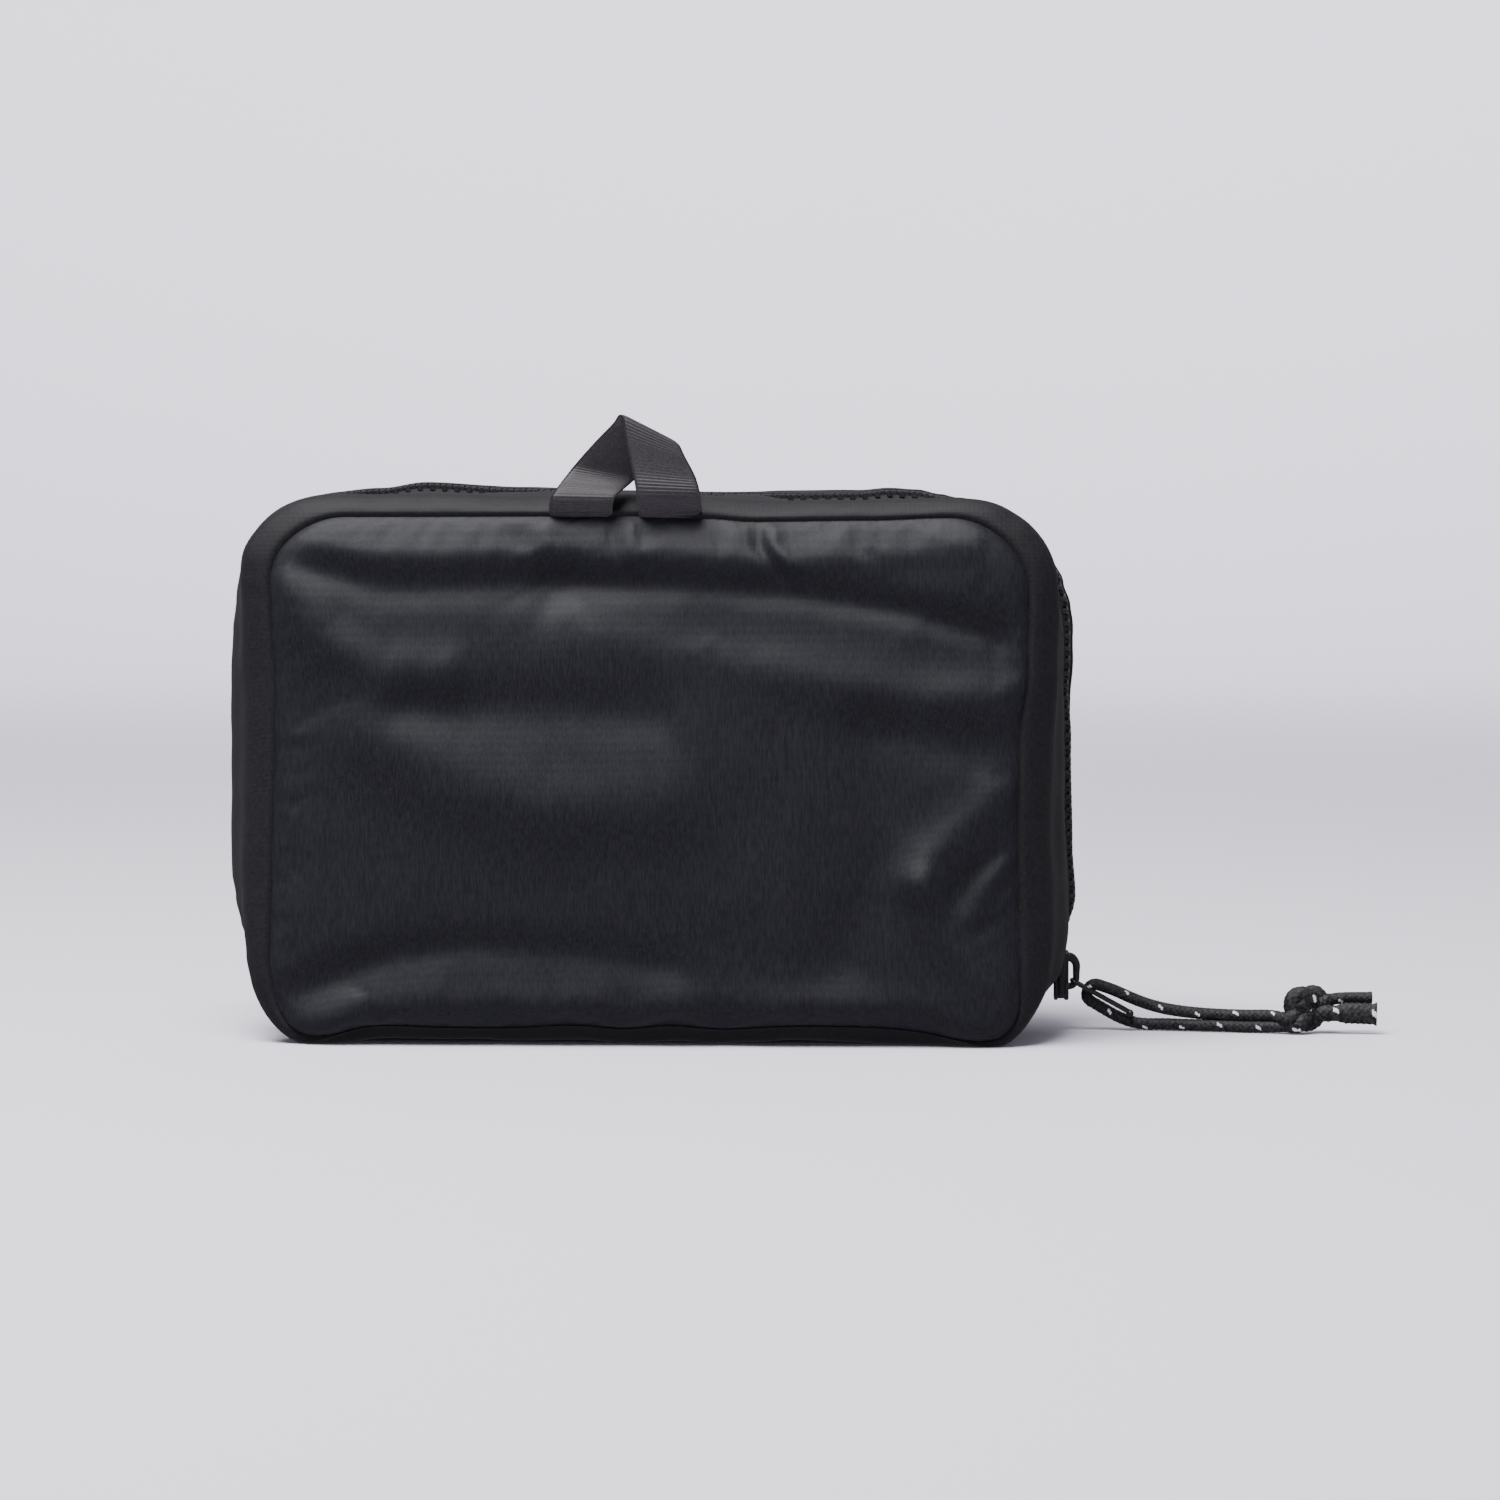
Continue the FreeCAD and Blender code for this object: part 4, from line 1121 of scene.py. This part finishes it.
def make_slider():
    """The zip's slider: two plates, the wedge that joins them, side flanges and an arched bridge."""
    shape = slider_outline()
    inner, outer, foot = slider_low.x, slider_high.x, slider_low.z
    plate("slider_outer_plate", outer - OUTER_THICK, outer, shape, 0.5 * MM, ("slider_body",))
    plate("slider_inner_plate", inner, inner + INNER_THICK, shape, 0.4 * MM)
    wedge = [
        (ZIP_MIDDLE + WEDGE_HALF_WIDE * math.cos(a), foot + WEDGE_UP + WEDGE_HALF_TALL * math.sin(a))
        for a in (2 * math.pi * k / 20 for k in range(20))
    ]
    plate("slider_wedge", inner + 1.0 * MM, outer - 1.0 * MM, wedge, 0.2 * MM)
    for label, side in (("front", -1), ("rear", 1)):
        path = [
            Vector((
                outer - FLANGE_IN,
                ZIP_MIDDLE + side * (FLANGE_ASIDE - FLANGE_TURN * share ** 2),
                foot + FLANGE_LOW + FLANGE_LONG * share,
            ))
            for share in (k / 12 for k in range(13))
        ]
        swept(
            f"slider_flange_{label}", path, (1, 0, 0), *FLANGE_HALVES, "slider_metal", "zip_slider",
            (), 3.5, 12,
        )
    bridge_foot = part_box("slider_bridge")[0].x
    points = [(bridge_foot + a * MM, z * MM) for a, z in SLIDER_ARCH]
    path = [Vector((x, ZIP_MIDDLE, z)) for x, z in (catmull(points, k / 40) for k in range(41))]
    swept(
        "slider_arch", path, (1, 0, 0.2), *ARCH_HALVES, "slider_metal", "zip_slider",
        ("slider_bridge",), 3.5, scale=lambda share: 1 + 0.45 * max(0.0, 1 - 1.8 * share),
    )


make_slider()


PULL_START, PULL_WAY = Vector((134.2, 14.0, 16.2)) * MM, Vector((0.8754, 0, -0.4833))
PULL_HALF = [
    (0.0, 0.0), (0.0, 1.5), (0.5, 2.35), (2.0, 2.6), (8.0, 2.6), (15.0, 2.6), (20.0, 2.5), (21.7, 1.7),
    (22.1, 0.0),
]
WIRE_RADIUS, NUB_RADIUS, NUB_PLACE = 0.65 * MM, 1.15 * MM, 21.2 * MM
PULL_POINTS = 160


def make_pull():
    """The slider's wire loop, its ends closed by a small crimped nub."""
    loop = PULL_HALF + [(s, -y) for s, y in reversed(PULL_HALF[1:-1])] + PULL_HALF[:1]
    ring = [tuple(PULL_START + PULL_WAY * (s * MM) + Vector((0, y, 0)) * MM) for s, y in loop]
    path = [Vector(catmull(ring, k / PULL_POINTS)) for k in range(PULL_POINTS)]
    swept(
        "wire_loop", path, (0, 0, 1), WIRE_RADIUS, WIRE_RADIUS, "pull_wire", "zip_pull", ("pull_ring",),
        2.0, 14, True,
    )
    end = PULL_START + PULL_WAY * NUB_PLACE
    nub = [end + Vector((0.3 * k / 8, -1.2 - 3.0 * k / 8, -0.35 * k / 8)) * MM for k in range(9)]
    swept("wire_nub", nub, (0, 0, 1), NUB_RADIUS, NUB_RADIUS, "pull_wire", "zip_pull", (), 2.2,
          scale=lambda share: (0.75 + 0.25 * min(share * 4, 1)) * (1 - 0.4 * max(0.0, share - 0.8) / 0.2))


make_pull()

# ---- hanging loop

STRAP = [
    (-21.0, -37.0, 166.2, 0, 0), (-20.9, -38.6, 168.2, 0, 0), (-20.6, -41.2, 170.4, 0, 0),
    (-19.9, -42.9, 172.2, 1, 0), (-18.6, -41.0, 174.2, 3, 0), (-16.4, -36.6, 177.0, 7, 1),
    (-13.2, -34.2, 180.6, 12, 2), (-7.2, -36.6, 186.2, 20, 3), (-1.8, -40.2, 190.9, 26, 2),
    (0.1, -41.6, 193.4, 27, 0), (1.4, -43.2, 193.0, 26, 0), (2.8, -43.8, 188.4, 20, 0),
    (5.4, -44.0, 180.2, 7, 0), (6.7, -44.9, 175.0, 2, 1), (7.0, -44.0, 172.4, 0, 2),
    (7.1, -41.2, 170.2, 0, 2), (7.2, -38.6, 168.2, 0, 3), (7.2, -37.0, 166.2, 0, 3),
]
STRAP_POINTS, STRAP_ACROSS = 330, 21
RIB_PITCH, RIB_LOW, RIB_DEEP, SELVEDGE = 1.0, -0.26, 0.24, 0.10


def webbing_strip(name, sections, body, replaces, tall, wide):
    """Ribbed webbing through sections (x, y, z, lean down, turn back), in millimetres and degrees."""
    rows = [catmull(sections, k / STRAP_POINTS) for k in range(STRAP_POINTS + 1)]
    middles = millimetres(row[:3] for row in rows)
    verts, run = [], 0.0
    for index, row in enumerate(rows):
        down, back = math.radians(row[3]), math.radians(row[4])
        width = Vector((math.cos(down), math.sin(back), -math.sin(down))).normalized()
        before, after = middles[max(index - 1, 0)], middles[min(index + 1, STRAP_POINTS)]
        run += (middles[index] - before).length if index else 0
        normal = (after - before).normalized().cross(width).normalized()
        ridge = 0.5 + 0.5 * math.cos(2 * math.pi * run / (RIB_PITCH * MM))
        for side in (1, -1):
            for step in range(STRAP_ACROSS):
                place = (step / (STRAP_ACROSS - 1) * 2 - 1) * side
                height = tall / 2 + RIB_LOW + RIB_DEEP * ridge + (SELVEDGE if abs(place) > 0.9 else 0.0)
                height *= (1 - abs(place) ** 8) ** 0.5
                across = width * (place * wide / 2 * MM)
                verts.append(middles[index] + across + normal * (height * side * MM))
    piece(name, verts, grid_faces(len(rows), 2 * STRAP_ACROSS, True), "webbing", body, replaces)


def make_loop():
    """The webbing hanging loop, and its two ends, sewn into the seam under it."""
    webbing_strip("webbing_loop", STRAP, "hang_loop", ("hanging_loop",), 1.2, 20.0)
    for side, x in (("left", STRAP[0][0]), ("right", STRAP[-1][0])):
        low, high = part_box(f"loop_end_{side}")
        y = (low.y + high.y) / 2 / MM
        ends = [(x, -38.4, 168.0), (x, -37.0, 166.0), (x, y, 162.0), (x, y, 156.0), (x, y, 150.4)]
        flat = [(*end, 0, 0) for end in ends]
        webbing_strip(f"sewn_end_{side}", flat, "front_half", (f"loop_end_{side}",), 1.1, 18.0)


make_loop()

# ---- inside of both halves

FRONT_LINING = in_metres(
    (-34.6, 114.2, 8.0, 162.6, 21), (-34.9, 118.4, 5.0, 166.4, 23),
    (-30.0, 123.0, 2.9, 168.4, 24.3), (-10.0, 126.8, 2.7, 170.4, 24.3),
    (7.6, 129.0, 2.7, 171.2, 24.3),
)
LID_LINING = in_metres(
    (20.4, 129.0, 2.7, 171.2, 24.3), (27.0, 126.2, 2.8, 169.6, 24.3),
    (33.6, 121.0, 5.0, 165.8, 23), (34.8, 116.0, 8.0, 162.4, 21),
)


def lining_bump(point, share):
    """Soft creases of a loose lining, always inward."""
    return -(0.5 + 0.5 * soft_noise(point, 16, 4.4)) * 0.9 * MM * math.sin(math.pi * min(max(share, 0), 1))


def lining_height(x, z, edge):
    """A lining's flat part, loosely creased."""
    creases = soft_noise((x, 0, z), 26, 2.0) + 0.5 * soft_noise((x, 0, z), 9, 6.0)
    return 0.35 * MM * creases * grown(edge, 6)


def make_linings():
    """The lining of each half: its walls, and a flat part at their outer end."""
    for half, stations, (y, *shape), body, node, toward in (
        ("front", FRONT_LINING, FRONT_LINING[0], "front_half", "main_lining", 1),
        ("lid", LID_LINING, LID_LINING[-1], "lid", "lid_lining", -1),
    ):
        walls = wall(f"{half}_lining_walls", stations, 26, "lining", body, (), lining_bump)
        flat = sheet_panel(
            f"{half}_lining_flat", shape, y, toward, lining_height, 4 * MM, "lining", body, (node,)
        )
        if body == "lid":
            cut(walls, FOLD + 0.3 * MM, True)
            cut(flat, FOLD + 0.3 * MM, True)


make_linings()


FOAM_CORNER = 18 * MM


def foam_sheet(name, node, low, front_y, body, above=None):
    """A sheet of foam with soft edges, two faces in one mesh."""
    foam_low, foam_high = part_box(node)
    shape = (foam_high.x, low or foam_low.z, foam_high.z, FOAM_CORNER)
    low_y, high_y = foam_low.y + front_y, foam_high.y
    middle = (low_y + high_y) / 2

    def rise(x, z, edge):
        return (high_y - low_y) / 2 * grown(edge, 1.2) + 0.05 * MM * soft_noise((x, 0, z), 12)

    made = sheet_panel(name, shape, middle, 1, rise, 4 * MM, "foam", body, (node,))
    back = sheet_panel(name + "_back", shape, middle, -1, rise, 4 * MM, "foam", body)
    mesh = bmesh.new()
    mesh.from_mesh(made.data)
    mesh.from_mesh(back.data)
    mesh.to_mesh(made.data)
    mesh.free()
    bpy.data.objects.remove(back)
    if above:
        cut(made, above, True)


foam_sheet("front_foam", "main_foam", None, 0.5 * MM, "front_half")
foam_sheet("lid_foam_sheet", "lid_foam", 11 * MM, 0.0, "lid", FOLD + 0.5 * MM)


POCKET_CLOTH, THREAD = 0.8 * MM, 0.28 * MM
NET_COLUMNS, NET_ROWS = 90, 34
ELASTIC_POINTS, GATHERS = 220, ((0.25, 1.1), (0.15, 1.9))


def slip_height(x, z, edge):
    """The slip pocket, which stands off the lining towards its open top."""
    up = (z - slip_low.z) / (slip_high.z - slip_low.z)
    side = grown(slip_high.x - abs(x), 14)
    crease = 0.4 * MM * soft_noise((x, 0, z), 12, 5.5) * side
    return (slip_high.y - slip_low.y - POCKET_CLOTH) * side * (1 - math.exp(-up * 4)) + crease


def net_knots():
    """The knots of the lid's net pocket, row by row, which bellies out to its elastic."""
    knots = []
    for row in range(NET_ROWS):
        up = row / (NET_ROWS - 1)
        for column in range(NET_COLUMNS):
            x = mesh_low.x + (mesh_high.x - mesh_low.x) * (column + 0.5 * (row % 2)) / (NET_COLUMNS - 0.5)
            z = mesh_low.z + (mesh_high.z - 6 * MM - mesh_low.z) * row / (NET_ROWS - 1)
            side = grown(mesh_high.x - abs(x), 16)
            belly = (mesh_high.y - mesh_low.y - POCKET_CLOTH) * side * (1 - math.exp(-up * 3.5))
            y = mesh_high.y - 0.3 * MM - belly + 0.3 * MM * soft_noise((x, 0, z), 14)
            knots.append(Vector((x, y, z)))
    return knots


def make_net():
    """The net pocket: a thin thread from every knot to its two neighbours in the row above."""
    knots = net_knots()
    verts, faces = [], []
    for here in range((NET_ROWS - 1) * NET_COLUMNS):
        row, column = divmod(here, NET_COLUMNS)
        other = column + (1 if row % 2 else -1)
        for near in [column] + ([other] if 0 <= other < NET_COLUMNS else []):
            start, end = knots[here], knots[(row + 1) * NET_COLUMNS + near]
            side = (end - start).normalized().cross(Vector((0, 1, 0))).normalized() * THREAD
            up = Vector((0, THREAD, 0))
            base = len(verts)
            for point in (start, end):
                verts += [point + side, point + up, point - side, point - up]
            faces += [(base + k, base + (k + 1) % 4, base + 4 + (k + 1) % 4, base + 4 + k) for k in range(4)]
    piece("net_pocket", verts, faces, "mesh", "lid", ("mesh_pocket",))


def elastic_band(name, node, body):
    """A gathered elastic along the top of a pocket."""
    low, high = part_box(node)
    middle = (low + high) / 2
    path = []
    for k in range(ELASTIC_POINTS + 1):
        x = low.x + (high.x - low.x) * k / ELASTIC_POINTS
        out, up = (tall * MM * math.sin(x / (pitch * MM)) for tall, pitch in GATHERS)
        path.append(Vector((x, middle.y + out, middle.z + up)))
    half_side, half_up = (high.y - low.y) / 2 - 0.1 * MM, (high.z - low.z) / 2 - 0.2 * MM
    swept(name, path, (0, 0, 1), half_side, half_up, "binding_tape", body, (node,), 4.0)


def make_pockets():
    """The slip pocket of the front half and the net pocket of the lid, each with its elastic."""
    slip_shape = (slip_high.x, slip_low.z, slip_high.z, 8 * MM)
    slip = sheet_panel(
        "slip_pocket_sheet", slip_shape, slip_low.y + 0.2 * MM, 1, slip_height, 2.5 * MM,
        "lining", "front_half", ("slip_pocket",),
    )
    thick = slip.modifiers.new("thickness", "SOLIDIFY")
    thick.thickness = 0.6 * MM
    thick.offset = 1
    make_net()
    elastic_band("slip_pocket_elastic", "slip_elastic", "front_half")
    elastic_band("net_pocket_elastic", "mesh_elastic", "lid")


make_pockets()

# ---- floor and light


FLOOR_FLAT, FLOOR_FAR, FLOOR_RISE, FLOOR_AROUND = 3.0, 5.6, 0.24, 72
FLOOR_COLOUR, WORLD_COLOUR, WORLD_STRENGTH = (0.85, 0.825, 0.93), (0.87, 0.86, 0.94, 1), 0.27


def make_floor():
    """A pale floor that rises into a bowl far from the bag."""
    profile = [(FLOOR_FLAT * k / 6, 0.0) for k in range(7)]
    for k in range(1, 15):
        out = (FLOOR_FAR - FLOOR_FLAT) * k / 14
        profile.append((FLOOR_FLAT + out, FLOOR_RISE * out ** 2))
    verts = [
        (r * math.cos(2 * math.pi * k / FLOOR_AROUND), r * math.sin(2 * math.pi * k / FLOOR_AROUND), z)
        for r, z in profile for k in range(FLOOR_AROUND)
    ]
    pale = material("floor", FLOOR_COLOUR, 0.75, 0.0, 0.2)
    made = mesh_object("floor", verts, grid_faces(len(profile), FLOOR_AROUND, True), [pale])
    made.visible_glossy = False


def area_light(name, place, size, power, colour, target):
    """A soft rectangular light that faces a point."""
    data = bpy.data.lights.new(name, "AREA")
    data.shape = "RECTANGLE"
    data.size, data.size_y = size
    data.energy = power
    data.color = colour
    aimed(new_object(name, data), place, Vector(target) - Vector(place))


def make_light():
    """Plain soft studio light: a pale world, a large light above the bag and a wider one behind it."""
    world = bpy.data.worlds.new("studio")
    bpy.context.scene.world = world
    world.use_nodes = True
    back = world.node_tree.nodes["Background"]
    back.inputs["Color"].default_value = WORLD_COLOUR
    back.inputs["Strength"].default_value = WORLD_STRENGTH
    area_light("top_light", (-0.42, -0.60, 1.9), (1.5, 1.1), 92, (1, 1, 1), (0, 0, 0.08))
    area_light("wall_light", (0, 3.3, 2.8), (5, 2), 200, (1, 0.985, 1), (0, 5.2, 0.2))


make_floor()
make_light()
